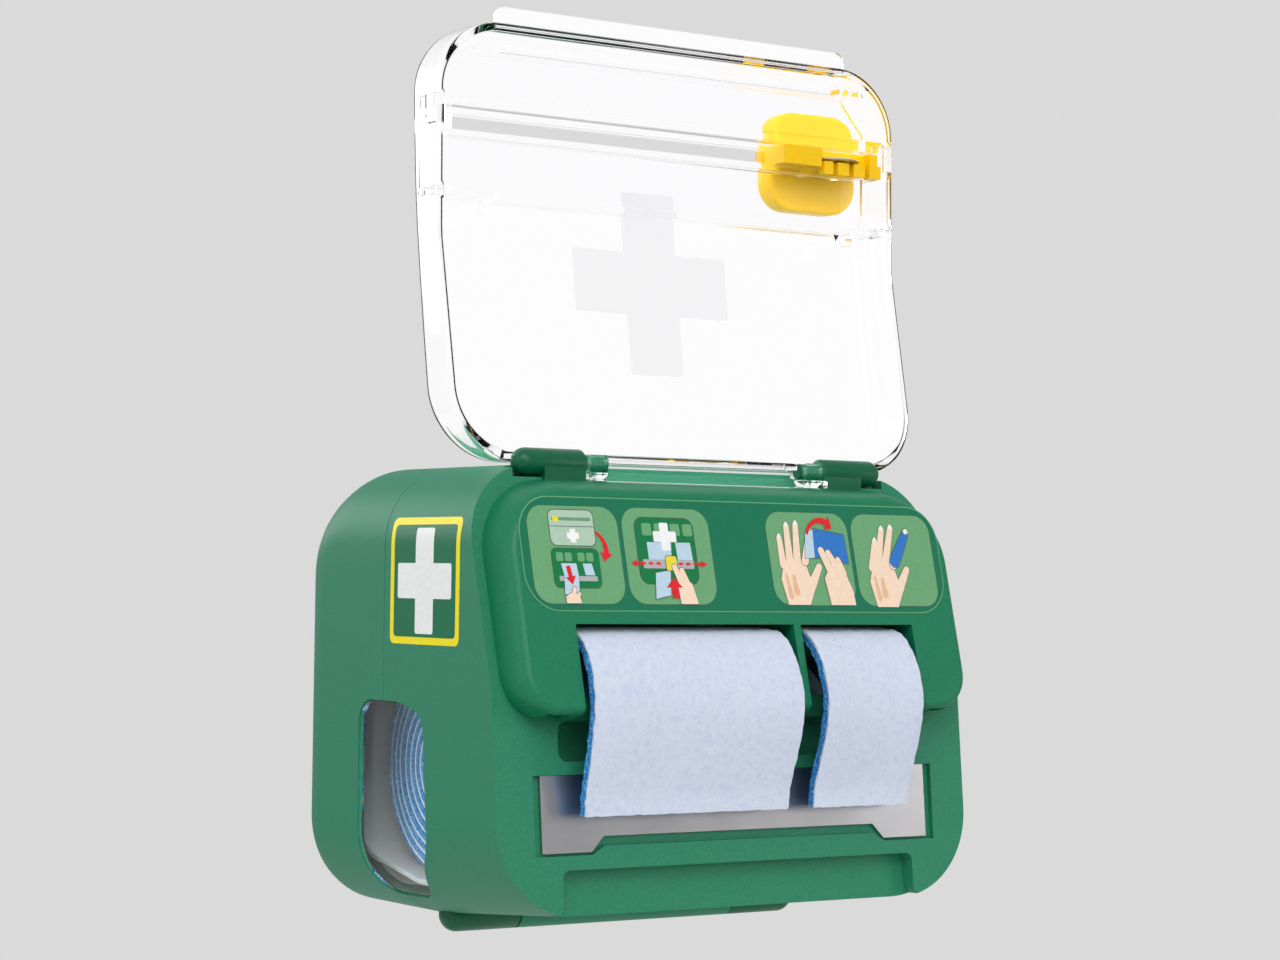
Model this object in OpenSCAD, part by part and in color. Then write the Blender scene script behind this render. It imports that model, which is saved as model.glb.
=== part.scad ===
// Wall dispenser for two rolls of self-adhering foam bandage.
// Frame: X to the right, Y into the wall, Z up. Y = 0 is the wall face.
// The modules draw with Z = 0 at the underside of the housing; at_mount()
// then puts the origin at the centre of the four wall screws.

/* [Housing] */
// Width of the housing
body_w = 142.6; // [142:0.2:144]
// Height of the housing
body_h = 108; // [107.6:0.2:109]
// Thickness of the moulded walls
wall = 2.4; // [2:0.1:2.6]
// Corner radius at the top
top_r = 20; // [18:0.5:21]
// Corner radius at the bottom
low_r = 22; // [20:0.5:23]
// How far the underside falls from the front to the seam
low_drop = 4.7; // [4.4:0.1:4.9]
// Distance from the wall to the seam between housing and cover
seam_y = 47.4; // [47:0.1:48]

/* [Wall screws] */
// Distance between the screws across the width
screw_dx = 90; // [60:1:96]
// Distance between the screws over the height
screw_dz = 50; // [40:1:54]
// Radius of each screw hole
screw_r = 2.25; // [1.75:0.05:2.75]

/* [Cover hinge] */
// Radius of the hinge barrel under the housing
barrel_r = 4.3; // [4:0.1:4.4]
// Radius of the steel rod in it
rod_r = 1.5; // [1.2:0.1:1.8]
// Radial running clearance of every pin
fit = 0.05; // [0.03:0.01:0.08]

/* [Lid] */
// Turn of the lid from standing open to closed, in degrees
lid_travel = 175.5; // [175:0.1:176]
// Thickness of the clear lid
lid_wall = 2.2; // [1.8:0.1:2.4]
// Radius of the green hinge knuckles
knuckle_r = 3.4; // [3.2:0.1:3.5]
// Radius of the hinge pins
pin_r = 2; // [1.8:0.1:2.1]

/* [Cutter] */
// Radius of the cutting wheel
wheel_r = 7.4; // [7:0.1:7.5]
// Thickness of the cutting wheel
wheel_t = 1; // [0.8:0.1:1.2]
// Radius of the pin that the wheel turns on
axle_r = 1.1; // [0.9:0.1:1.3]

/* [Bandage] */
// Thickness of the foam strips
foam_t = 3; // [2.5:0.1:3.2]
// Width of the wide strip
wide_w = 60; // [58:0.5:60]
// Width of the narrow strip
narrow_w = 30; // [28:0.5:30]
// Outer radius of the rolls
roll_r = 28; // [24:0.5:28]

/* [Hidden] */
$fn = 48;

green = [0.17, 0.52, 0.38];
dark_green = [0.0, 0.42, 0.29];
clear = [0.85, 0.9, 0.92, 0.35];
yellow = [0.98, 0.8, 0.0];
steel = [0.68, 0.68, 0.7];
grey = [0.66, 0.66, 0.67];
foam = [0.72, 0.8, 0.92];

mount_z = 54;
half_w = body_w / 2;
gap = 0.3;
film_gap = 0.01;
far = 200;

// The lean of the front face: a steep lower part and a sloping upper part
bend_z = 54;
face_low_y = -104.5;
face_bend_y = -99.3;
upper_lean = 0.286;
face_top_y = face_bend_y + upper_lean * (body_h - bend_z);
low_lean = (face_bend_y - face_low_y) / bend_z;
function face_y(z) = z < bend_z ? face_low_y + low_lean * z
                                : face_bend_y + upper_lean * (z - bend_z);

// Hood: how far its front face stands out from the upper face, low down and at the top
hood_low_z = 51;
hood_high_z = 101;
hood_out_low = 9.4;
hood_out_high = 10.6;
hood_wall = 2.2;

// Outlet slots in the hood
slot_half = 51.4;
slot_low = 51.5;
slot_top = 69.5;
divider_x = [13.4, 15.6];

// Recesses in the lower face
plate_half = 60.7;
plate_low = 14.4;
plate_high = 33.5;
lip_half = 41;
lip_high = 16.5;
tray_half = 53.2;
tray_high = 11;
tray_depth = 4.2;
recess_half = 53.3;
recess_depth = 4.5;
plate_depth = 1.4;

// Cover hinge
cover_axis = [-49, -4.9];
middle_half = 32.9;
barrel_half = 54.5;

// Lid hinge
lid_axis = [-83, 108.7];
knuckle_in = 36.4;
knuckle_out = 53;
pin_in = 30.3;
trough_r = 7.8;
hook_r = 3.9;

// Lid, measured from its hinge axis: v towards the wall, u upwards
lid_len = 109.5;
lid_r = 18;
lid_panel = [[16, -1], [18.5, 13], [22.3, 35], [26.6, 64], [28.2, 90], [29, lid_len]];

// Cutter, in the same frame as the housing
track_z = 193.8;
wheel_x = 56;
wheel_y = -63.1;
track_gap_z = [191, 196.6];
slot_half_z = 1.9;
hub_r = 2.6;
hub_t = 1.2;
knob_w = 29;
knob_h = 27;
knob_z = 194.2;
carriage_x = [35.5, 68.2];
slot_x = [-61.5, 67.3];

// Rolls
roll_y = -50.5;
roll_z = 33.2;
core_r = 7;
wide_x = -49.85;
narrow_x = 18.13;
wide_roll_x = -54.5;
narrow_roll_x = 19;
tray_w = 117;

// ---------- shape helpers ----------

// Points of an arc, from angle a0 to a1
function arc(cx, cy, r, a0, a1, n = 8) =
    [for (i = [0:n]) let (a = a0 + (a1 - a0) * i / n) [cx + r * cos(a), cy + r * sin(a)]];

// Rounded rectangle in X and Z with different radii above and below
function frame_pts(x0, x1, z0, z1, r_top, r_low) = concat(
    arc(x1 - r_top, z1 - r_top, r_top, 0, 90), arc(x0 + r_top, z1 - r_top, r_top, 90, 180),
    arc(x0 + r_low, z0 + r_low, r_low, 180, 270), arc(x1 - r_low, z0 + r_low, r_low, 270, 360));

// A line of points moved sideways along Y
function shift_y(pts, d) = [for (p = pts) [p[0] + d, p[1]]];
function reversed(pts) = [for (i = [len(pts) - 1:-1:0]) pts[i]];

// Turns a closed-lid point (y, z) back to the open pose about the lid axis
function to_open(p) =
    let (a = p[0] - lid_axis[0], b = p[1] - lid_axis[1], c = cos(lid_travel), s = sin(lid_travel))
    [lid_axis[0] + a * c + b * s, lid_axis[1] - a * s + b * c];

module at_mount() translate([0, 0, -mount_z]) children();

// Outline in X and Z, running from y0 back to y1
module along_y(pts, y0, y1)
    translate([0, y1, 0]) rotate([90, 0, 0]) linear_extrude(y1 - y0) polygon(pts);

// Outline in Y and Z, running from x0 to x1
module along_x(pts, x0, x1)
    translate([x0, 0, 0]) rotate([90, 0, 90]) linear_extrude(x1 - x0) polygon(pts);

module rod_x(x0, x1, r, at)
    translate([x0, at[0], at[1]]) rotate([0, 90, 0]) cylinder(h = x1 - x0, r = r);

module box(x, y, z)
    translate([x[0], y[0], z[0]]) cube([x[1] - x[0], y[1] - y[0], z[1] - z[0]]);

module both_sides() {
    children();
    mirror([1, 0, 0]) children();
}

// Rounded rectangle with true arcs; p and q are opposite corners, the radii are low and high
module round_rect(p, q, r_low, r_high) {
    polygon([[p[0] + r_low, p[1]], [q[0] - r_low, p[1]], [q[0], p[1] + r_low], [q[0], q[1] - r_high],
             [q[0] - r_high, q[1]], [p[0] + r_high, q[1]], [p[0], q[1] - r_high], [p[0], p[1] + r_low]]);
    for (x = [p[0] + r_low, q[0] - r_low]) translate([x, p[1] + r_low]) circle(r = r_low);
    for (x = [p[0] + r_high, q[0] - r_high]) translate([x, q[1] - r_high]) circle(r = r_high);
}

// The cross-section behind the seam shrunk by t, running from y0 back to y1
module rear_outline(t, y0, y1)
    translate([0, y1, 0]) rotate([90, 0, 0]) linear_extrude(y1 - y0)
        round_rect([-half_w + t, t - low_drop], [half_w - t, body_h - t], low_r - t, top_r - t);

// The cross-section in front of the seam: its underside falls from the front edge to the seam
module front_outline(t) {
    fall = atan(low_drop / (-seam_y - face_low_y));
    intersection() {
        translate([0, face_low_y, 0]) rotate([-fall, 0, 0]) translate([0, far, 0]) rotate([90, 0, 0])
            linear_extrude(2 * far) round_rect([-half_w + t, t], [half_w - t, 2 * far], low_r - t, top_r - t);
        translate([0, far, 0]) rotate([90, 0, 0]) linear_extrude(2 * far)
            round_rect([-half_w + t, -far], [half_w - t, body_h - t], low_r - t, top_r - t);
    }
}

// The housing's outer form shrunk by t: straight in front, rounded in towards the wall
module body_form(t, y_front) {
    top_back_r = 26;
    low_back_r = 12;
    side_r = 14;
    intersection() {
        rear_outline(t, y_front, -t);
        // Top and bottom curve in towards the wall
        translate([-far / 2, 0, 0]) rotate([90, 0, 90]) linear_extrude(far)
            round_back([-far, t - low_drop], [-t, body_h - t], low_back_r - t, top_back_r - t);
        // The sides curve in with a smaller radius
        translate([0, 0, -far / 2]) linear_extrude(far) mirror([1, 0]) rotate(90)
            round_back([-far, -half_w + t], [-t, half_w - t], side_r - t, side_r - t);
    }
}

// A rectangle whose two corners at the high first coordinate are round
module round_back(p, q, r_low, r_high) {
    polygon([p, [q[0] - r_low, p[1]], [q[0], p[1] + r_low], [q[0], q[1] - r_high], [q[0] - r_high, q[1]],
             [p[0], q[1]]]);
    translate([q[0] - r_low, p[1] + r_low]) circle(r = r_low);
    translate([q[0] - r_high, q[1] - r_high]) circle(r = r_high);
}

// ---------- housing ----------

// Side outline of the windows, grown by g
function window_pts(g) = concat(
    arc(-41, 43.2, 6 + g, 0, 90), arc(-52, 20, 29.2 + g, 90, 104, 3), arc(-61.5, 41.5, 6 + g, 100, 175),
    arc(-59.8, 18, 9.8 + g, 178, 225, 4), arc(-55, 9.4, 9 + g, 225, 270, 4), arc(-45, 10.4, 10 + g, 270, 360));

module window_hole() both_sides() along_x(window_pts(0), -half_w - 5, -half_w + 26);

module rear_knuckles() both_sides() {
    rod_x(middle_half + gap, barrel_half - barrel_r, barrel_r, cover_axis);
    translate([barrel_half - barrel_r, cover_axis[0], cover_axis[1]]) sphere(r = barrel_r);
    box([middle_half + gap, barrel_half - 6], [-49, -43], [cover_axis[1] - 2, -2.6]);
}

module rear_shell() at_mount() color(green) {
    difference() {
        union() {
            difference() {
                body_form(0, -seam_y + gap / 2);
                body_form(wall, -seam_y - 1);
                rod_x(-middle_half - gap, middle_half + gap, barrel_r + gap, cover_axis);
            }
            // Screw bosses on the inside of the back wall
            for (x = [-1, 1], z = [-1, 1])
                translate([x * screw_dx / 2, 0, mount_z + z * screw_dz / 2])
                    rotate([90, 0, 0]) cylinder(h = 5, r = 5.5);
            rear_knuckles();
        }
        window_hole();
        for (x = [-1, 1], z = [-1, 1])
            translate([x * screw_dx / 2, 1, mount_z + z * screw_dz / 2])
                rotate([90, 0, 0]) cylinder(h = 9, r = screw_r);
        rod_x(-barrel_half + 2, barrel_half - 2, rod_r + fit, cover_axis);
    }
}

// The tray's section: back wall, round corner, floor and raised front lip
tray_path = concat([[-10.5, 72]], arc(-28, 24, 17.5, 0, -90), [[-46, 3.4], [-84, 3.4], [-88, 11]]);

module roll_tray() at_mount() color(grey) {
    inner = concat([[-12, 72]], arc(-28, 24, 16, 0, -90), [[-46, 4.7], [-83, 4.7], [-86.6, 11.5]]);
    along_x(concat(tray_path, reversed(inner)), -tray_w / 2, tray_w / 2);
    // Posts that stand the tray off the back wall
    both_sides() translate([20, -wall - 0.02, 50]) rotate([90, 0, 0]) cylinder(h = 8.2, r = 3);
}

module roll_dividers() at_mount() color(grey)
    for (x = [11.5, 53])
        along_x(concat([[-12.2, 60]], arc(-28, 24, 15.8, 0, -90), [[-46, 4.9], [-76, 4.9], [-78, 40]],
                       arc(-66, 48, 12, 180, 90)), x, x + 1.5);

// The housing's and the cover's form together, both shrunk by t
module side_form(t) intersection() {
    rear_outline(t, -80, -20);
    front_outline(t);
}

// One clear window: a flange inside the wall and a boss that fills the hole
module window_pane() {
    intersection() {
        along_x(window_pts(2.5), -half_w - 1, -half_w + 17.5);
        difference() {
            side_form(wall + 0.3);
            side_form(wall + 1);
        }
    }
    intersection() {
        along_x(window_pts(-gap), -half_w - 1, -half_w + 26 - gap);
        difference() {
            side_form(0.4);
            side_form(wall + 0.6);
        }
    }
}

module window_left() at_mount() color(clear) window_pane();

module window_right() at_mount() color(clear) mirror([1, 0, 0]) window_pane();

module cover_hinge_rod() at_mount() color(steel)
    rod_x(-barrel_half + 2.2, barrel_half - 2.2, rod_r, cover_axis);

// Two spring tongues inside the top that hold the cover shut
module cover_catches() at_mount() color(grey) both_sides() {
    along_x([[-22, 102], [-50, 102.6], [-57, 102.6], [-57, 104.4], [-54, 104.4], [-50, 103.8], [-22, 103.4]],
            36, 46);
    box([36, 46], [-26, -22], [101, 102.5]);
}

// ---------- cover ----------

module side_profile(d, z0, z1, lift)
    along_x([[-seam_y - gap / 2, z0], [face_low_y + low_lean * z0 + d, z0], [face_bend_y + d, bend_z + lift],
             [face_y(z1) + d, z1], [-seam_y - gap / 2, z1]], -far, far);

// Solid form of the cover: the housing's cross-section cut to the leaning face
module cover_form() intersection() {
    front_outline(0);
    side_profile(0, -low_drop - 2, body_h, 0);
}

// Hollow of the cover: thick behind the lower face, thin behind the hood
module cover_hollow() {
    sill_z = 48;
    intersection() {
        front_outline(wall);
        along_x([[-seam_y + 1, -low_drop], [face_low_y + 7.2, -low_drop], [face_y(sill_z) + 7, sill_z],
                 [face_y(sill_z) + wall, sill_z], [face_bend_y + wall, bend_z],
                 [face_top_y + wall, body_h], [-seam_y + 1, body_h]], -far, far);
    }
}

function plate_pts(g, low) = [
    [-plate_half + g, plate_high], [-plate_half + g, low + g], [-lip_half - 3.5, low + g],
    [-lip_half, lip_high + g], [lip_half, lip_high + g], [lip_half + 3.5, low + g],
    [plate_half - g, low + g], [plate_half - g, plate_high]];

// Removes the outline from the lower face down to the given depth
module face_pocket(pts, depth)
    intersection() {
        along_y(pts, -far, 0);
        along_x([[face_low_y - 9, -1], [face_low_y + depth - low_lean, -1],
                 [face_bend_y + depth, bend_z], [face_low_y - 9, bend_z]], -far, far);
    }

module hinge_trough() rod_x(-knuckle_in + 0.2, knuckle_in - 0.2, trough_r, lid_axis);

module front_shell() at_mount() color(green) {
    difference() {
        union() {
            difference() {
                cover_form();
                cover_hollow();
            }
            // Wall behind the hinge trough
            intersection() {
                rod_x(-knuckle_in - 2, knuckle_in + 2, trough_r + 2.2, lid_axis);
                cover_form();
            }
            rod_x(-middle_half, middle_half, barrel_r, cover_axis);
            box([-middle_half, middle_half], [-53.3, -47.6], [cover_axis[1], -2.6]);
        }
        hinge_trough();
        both_sides() rod_x(knuckle_in - 1, knuckle_out + 4.2, knuckle_r + 0.8, lid_axis);
        // Room for the rear shell's knuckles
        both_sides() rod_x(middle_half, barrel_half + gap, barrel_r + gap, cover_axis);
        window_hole();
        face_pocket(plate_pts(0, plate_low), plate_depth);
        face_pocket(frame_pts(-recess_half, recess_half, 36.6, 46.2, 2.5, 2.5), recess_depth);
        // Finger recess that the lid's lip closes over, its ends curved like a wave
        face_pocket(concat([[-tray_half - 3, -2]], arc(-tray_half - 3, 3, 3, -90, 0, 5),
                           arc(-tray_half + 2, tray_high - 2, 2, 180, 90, 5),
                           arc(tray_half - 2, tray_high - 2, 2, 90, 0, 5),
                           arc(tray_half + 3, 3, 3, 180, 270, 5), [[tray_half + 3, -2]]), tray_depth);
        // Outlets behind the hood
        box([-slot_half, divider_x[0]], [-far, -88], [slot_low, slot_top]);
        box([divider_x[1], slot_half], [-far, -88], [slot_low, slot_top]);
        rod_x(-middle_half - 1, middle_half + 1, rod_r + fit, cover_axis);
    }
}

// Side view of the hood's front; step is how far it stands out, from 0 to 1
function hood_line(step) =
    let (low = face_bend_y - upper_lean * (bend_z - hood_low_z) - step * hood_out_low,
         high = face_y(hood_high_z) - step * hood_out_high, slope = (high - low) / (hood_high_z - hood_low_z))
    [for (z = [40, 110]) [low + slope * (z - hood_low_z), z]];

// A leaning sheet in front of the cover, between the offsets near and off from the hood line
module hood_sheet(step, near, off)
    along_x(concat(shift_y(hood_line(step), near), reversed(shift_y(hood_line(step), off))), -far, far);

module hood_slice(step, hw, z_low, z_high)
    intersection() {
        along_y(frame_pts(-hw, hw, z_low, z_high, 19, 11), -far, 0);
        hood_sheet(step, 0, 0.1);
    }

// Each slice is [step, half width, lowest z, highest z]
module hood_form(t) {
    slices = [[0, 68.7, 46.8, 104.2], [0.3, 68.6, 47.2, 104.2], [0.65, 68.2, 48.4, 103.6],
              [0.88, 67.2, 49.8, 102.4], [1, 65.2, 51.4, 100.6]];
    hull() for (s = slices)
        hood_slice(t > 0 ? s[0] * 0.78 : s[0], s[1] - t, s[2] + t, s[3] - t);
}

module hood() at_mount() color(dark_green) {
    face_cut = [[face_bend_y - film_gap, bend_z], [face_y(112) - film_gap, 112], [-far / 4, 112], [-far / 4, 40],
                [face_y(40) - film_gap, 40]];
    difference() {
        union() {
            difference() {
                hood_form(0);
                hood_form(hood_wall);
            }
            // Walls round the outlets, from the hood's face back to the cover
            intersection() {
                hood_form(0);
                box([-slot_half - 2, slot_half + 2], [-far, 0], [40, slot_top + 2]);
            }
            both_sides() {
                rod_x(knuckle_in, knuckle_out, knuckle_r, lid_axis);
                translate([knuckle_out, lid_axis[0], lid_axis[1]]) sphere(r = knuckle_r);
                box([knuckle_in, 50.2], [lid_axis[0] - knuckle_r, lid_axis[0] + 1], [98, lid_axis[1]]);
            }
        }
        along_x(face_cut, -knuckle_in, knuckle_in);
        both_sides() difference() {
            along_x(face_cut, knuckle_in - 1, far);
            box([knuckle_in, far], [-far, 0], [lid_axis[1] - knuckle_r, far]);
        }
        box([-slot_half, divider_x[0]], [-far, 0], [40, slot_top]);
        box([divider_x[1], slot_half], [-far, 0], [40, slot_top]);
        hinge_trough();
        // Notches for the lid's catches
        both_sides() box([54.6, 60.6], [-108, -101.3], [44, 51.6]);
        both_sides() rod_x(knuckle_in - 1, knuckle_out - 2, pin_r + fit, lid_axis);
    }
}

module cutting_plate() at_mount() color(steel) {
    face_t = 1;
    intersection() {
        along_y(plate_pts(2.2, plate_low - 1.6), -far, 0);
        along_x([[face_low_y + 0.3, 0], [face_low_y + 0.3 + face_t, 0],
                 [face_bend_y + 0.3 + face_t, bend_z], [face_bend_y + 0.3, bend_z]], -far, far);
    }
}

module instruction_label() at_mount() color([0.1, 0.44, 0.3])
    intersection() {
        along_y(frame_pts(-64.2, 64.2, 72.5, 100, 15, 8), -far, 0);
        hood_sheet(1, -0.25, -film_gap);
    }

module side_sticker() at_mount() color("white")
    intersection() {
        difference() {
            rear_outline(-0.2, -84, -50.5);
            rear_outline(-film_gap, -85, -50);
        }
        box([-far, 0], [-84, -50.5], [63.6, 94.8]);
    }

// Side view of a strip's middle line, from the roll out through the slot and down
strip_path = [[-56, 63.2], [-76, 65.5], [-92, 67.2], [-101, 66.6], [-105.6, 64], [-109, 58.5],
              [-110.6, 51], [-110, 43], [-108.2, 34.5], [-106.9, 29], [-106.6, 24]];

// Path with thickness t: each corner is moved along the bisector's normal
function path_side(p, t) = [for (i = [0:len(p) - 1])
    let (a = p[max(i - 1, 0)], b = p[min(i + 1, len(p) - 1)], d = b - a, l = norm(d))
    [p[i][0] - t * d[1] / l, p[i][1] + t * d[0] / l]];

module strip(x, w) color(foam)
    along_x(concat(path_side(strip_path, foam_t / 2), reversed(path_side(strip_path, -foam_t / 2))), x, x + w);

module wide_strip() at_mount() strip(wide_x, wide_w);

module narrow_strip() at_mount() strip(narrow_x, narrow_w);

module lid_hinge_pins() at_mount() color(dark_green) both_sides() {
    rod_x(pin_in, knuckle_out - 3, pin_r, lid_axis);
}

// ---------- lid ----------

function lid_pt(v, u) = [lid_axis[0] + v, lid_axis[1] + u];

// The lid's outer form shrunk by t: its front outline cut to the bent panel
module lid_form(t)
    intersection() {
        rotate([90, 0, 0]) linear_extrude(far)
            round_rect([-half_w + t, lid_axis[1] + t], [half_w - t, lid_axis[1] + lid_len - t],
                       lid_r - t, lid_r - t);
        along_x(concat([for (p = lid_panel) lid_pt(p[0] - t, p[1])], [lid_pt(-4 + t, lid_len), lid_pt(-4 + t, -1)]),
                -far, far);
    }

// Everything in front of the lid's rim, which meets the cover's face when the lid is closed
module rim_cut(d) {
    closed = [[face_y(-6) - d, -6], [face_bend_y - d, bend_z], [face_y(104) - d, 104], [face_y(104) - d + 1, 107]];
    open = [for (p = closed) to_open(p)];
    along_x(concat(open, [[-99, 106], [-99, 240]]), -far, far);
}

module hinge_hook() {
    // An open ring that snaps over the pin, and the lug that joins it to the lid
    difference() {
        union() {
            intersection() {
                rod_x(pin_in + 0.4, knuckle_in - 0.5, hook_r, lid_axis);
                along_x([lid_pt(0, 0), lid_pt(5, 7), lid_pt(9, 0), lid_pt(9, -9), lid_pt(-9, -9), lid_pt(-9, -4.5)],
                        0, far);
            }
            box([pin_in + 0.4, knuckle_in - 0.5], [lid_axis[0] + 2.2, lid_axis[0] + 7.4],
                [lid_axis[1] - 1, lid_axis[1] + lid_wall]);
        }
        rod_x(pin_in - 1, knuckle_in, pin_r + fit, lid_axis);
    }
}

lip_top = 222.3;
ear_z = [[174, 176], [191.8, 198.8]];
ear_y = [-69, -62.5];

module lid_shell() at_mount() color(clear) {
    difference() {
        lid_form(0);
        lid_form(lid_wall);
        rim_cut(0.5);
        // Room for the green knuckles and pins, and for the lid to turn past the cover's top corner
        both_sides() rod_x(pin_in - 0.4, knuckle_out + 6.6, knuckle_r + 0.9, lid_axis);
        // Slot that the cutter's neck runs in
        box([slot_x[0], slot_x[1]], [-far, 0], [track_z - slot_half_z, track_z + slot_half_z]);
        // Slots for the guide's ears
        both_sides() for (e = ear_z)
            box([half_w - 4, half_w + 1], [ear_y[0] - 0.2, ear_y[1] + 0.2], [e[0] - 0.2, e[1] + 0.2]);
    }
    // Finger lip along the free edge
    intersection() {
        along_y(frame_pts(-54.8, 54.8, 205, lip_top, 4, 1), -far, 0);
        along_x([[-69.7, lid_axis[1] + lid_len - lid_wall], [-69.4, lip_top], [-67.6, lip_top],
                 [-67.7, lid_axis[1] + lid_len - lid_wall]], -far, far);
    }
    both_sides() hinge_hook();
    // Front bar under the pins
    box([-knuckle_in + 0.5, knuckle_in - 0.5], [lid_axis[0] - 6, lid_axis[0] - 2.6],
        [lid_axis[1] - 4.5, lid_axis[1] - 2.3]);
    // Front edge of the lid's end wall between the pins
    box([-pin_in + 0.6, pin_in - 0.6], [lid_axis[0] - 1, lid_axis[0] + 8], [lid_axis[1], lid_axis[1] + lid_wall]);
}

// The clear insert: web, two flanges, two rails and the ears that clip it into the lid
guide_half = half_w - lid_wall - gap;
web_y = [-60.2, -58.9];
rail_y = [-68.5, -59];
low_rail_y = -66.2;

module guide_flange(z, t) {
    box([-guide_half, guide_half], [-66, web_y[0] + 0.5], [z, z + t]);
    both_sides() box([53, guide_half], [-70, -65.5], [z, z + t]);
}

module cutter_guide() at_mount() color(clear) {
    difference() {
        union() {
            box([-guide_half, guide_half], web_y, [174, 212.5]);
            guide_flange(174, 1.6);
            guide_flange(210.9, 1.6);
            box([-guide_half, guide_half], rail_y, [track_gap_z[1], track_gap_z[1] + 3]);
            box([-guide_half, guide_half], [low_rail_y, rail_y[1]], [track_gap_z[0] - 1.6, track_gap_z[0]]);
            translate([-guide_half + 4.5, rail_y[0] + 0.1, track_gap_z[1] + 1.5])
                rotate([90, 0, 0]) cylinder(h = 0.5, r = 1.2);
            // Ears and their ribs
            both_sides() box([guide_half - 3, half_w + 0.8], ear_y, ear_z[0]);
            both_sides() box([guide_half - 0.2, half_w + 0.8], ear_y, ear_z[1]);
            // Catches that meet the notches in the hood
            both_sides() along_x([[-69, 174.1], [-69, 171.8], [-67.6, 170.6], [-66, 170.6], [-64.6, 174.1]], 55.6, 58.6);
        }
        box(slot_x, [-far, 0], [track_z - slot_half_z, track_z + slot_half_z]);
        // Round off the corners to follow the lid
        both_sides() rotate([90, 0, 0]) translate([0, 0, 50]) linear_extrude(25)
            polygon([[59.5, 213], [69, 213], [69, 202]]);
    }
}

// A plain first-aid cross printed on the lid's outer face
module lid_cross() at_mount() color([0.95, 0.95, 0.95]) {
    cz = 157;
    arm = 8.2;
    reach = 24;
    film = 0.2;
    outer = [for (p = lid_panel) lid_pt(p[0] + 0.01, p[1])];
    intersection() {
        union() {
            box([-arm, arm], [-far, 0], [cz - reach, cz + reach]);
            box([-reach, reach], [-far, 0], [cz - arm, cz + arm]);
        }
        along_x(concat(outer, reversed(shift_y(outer, film))), -far, far);
    }
}

// ---------- cutter ----------

module cutter_carriage() at_mount() color(yellow) {
    front_y = -69;
    back_y = -58.7;
    z = [track_gap_z[0] + 0.3, track_gap_z[1] - 0.3];
    difference() {
        union() {
            box(carriage_x, [front_y + 1.5, back_y - 1.7], z);
            box([carriage_x[0], 48], [front_y, back_y - 1.7], z);
            // Necks through the slot on both sides of the wheel
            box([43, 47.8], [back_y - 2, -54.2], [track_z - 1.6, track_z + 1.6]);
            box([64.6, 67], [back_y - 2, -54.2], [track_z - 1.6, track_z + 1.6]);
            // Guard below the wheel
            box([49, carriage_x[1]], [front_y, low_rail_y - 0.3], [z[0] - 1.8, z[0] + 1.6]);
        }
        // Slot that the wheel turns in
        translate([wheel_x, wheel_y, track_z - wheel_t / 2 - 0.4]) cylinder(h = wheel_t + 0.8, r = wheel_r + 0.7);
        box([wheel_x - wheel_r, wheel_x + wheel_r], [wheel_y, -50], [track_z - wheel_t / 2 - 0.4, track_z + wheel_t / 2 + 0.4]);
        // Opening that shows the wheel between guard fingers
        box([49.5, 65.5], [front_y - 1, front_y + 4.5], [z[0] + 1.6, z[1] + 1]);
        for (x = [52, 57.4, 62.8]) box([x, x + 1.6], [front_y - 1, front_y + 2.6], [z[0] - 3, z[0] + 2]);
        translate([wheel_x, wheel_y, z[0] - 3]) cylinder(h = 12, r = axle_r);
    }
}

module cutter_knob() at_mount() color(yellow) {
    y = [-54.2, -46.2];
    outline = frame_pts(wheel_x - knob_w / 2, wheel_x + knob_w / 2, knob_z - knob_h / 2, knob_z + knob_h / 2, 8, 8);
    inner = frame_pts(wheel_x - knob_w / 2 + 2.5, wheel_x + knob_w / 2 - 2.5, knob_z - knob_h / 2 + 2.5,
                      knob_z + knob_h / 2 - 2.5, 6, 6);
    difference() {
        hull() {
            along_y(outline, y[0], y[1] - 2.5);
            along_y(inner, y[1] - 0.1, y[1]);
        }
        // Finger hollow
        translate([wheel_x, y[1] + 22, knob_z]) sphere(r = 23.6);
    }
}

module wheel_pin() at_mount() color(steel)
    translate([wheel_x, wheel_y, track_gap_z[0] + 0.3]) cylinder(h = track_gap_z[1] - track_gap_z[0] - 0.6, r = axle_r);

module cutting_wheel() at_mount() color(steel)
    translate([wheel_x, wheel_y, track_z]) rotate_extrude()
        polygon([[axle_r + fit, -hub_t / 2], [hub_r, -hub_t / 2], [hub_r, -wheel_t / 2],
                 [wheel_r - 1.4, -wheel_t / 2], [wheel_r, -0.08], [wheel_r, 0.08], [wheel_r - 1.4, wheel_t / 2],
                 [hub_r, wheel_t / 2], [hub_r, hub_t / 2], [axle_r + fit, hub_t / 2]]);

// ---------- rolls ----------

module roll(x, w) color(foam)
    difference() {
        rod_x(x, x + w, roll_r, [roll_y, roll_z]);
        rod_x(x - 1, x + w + 1, core_r, [roll_y, roll_z]);
    }

module wide_roll() at_mount() roll(wide_roll_x, wide_w);

module narrow_roll() at_mount() roll(narrow_roll_x, narrow_w);

rear_shell();
roll_tray();
roll_dividers();
window_left();
window_right();
cover_hinge_rod();
cover_catches();
front_shell();
hood();
cutting_plate();
instruction_label();
side_sticker();
wide_strip();
narrow_strip();
lid_hinge_pins();
lid_shell();
cutter_guide();
lid_cross();
cutter_carriage();
cutter_knob();
wheel_pin();
cutting_wheel();
wide_roll();
narrow_roll();
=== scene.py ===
import math
import random

import bmesh
import bpy
from mathutils import Matrix, Vector, noise


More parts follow.
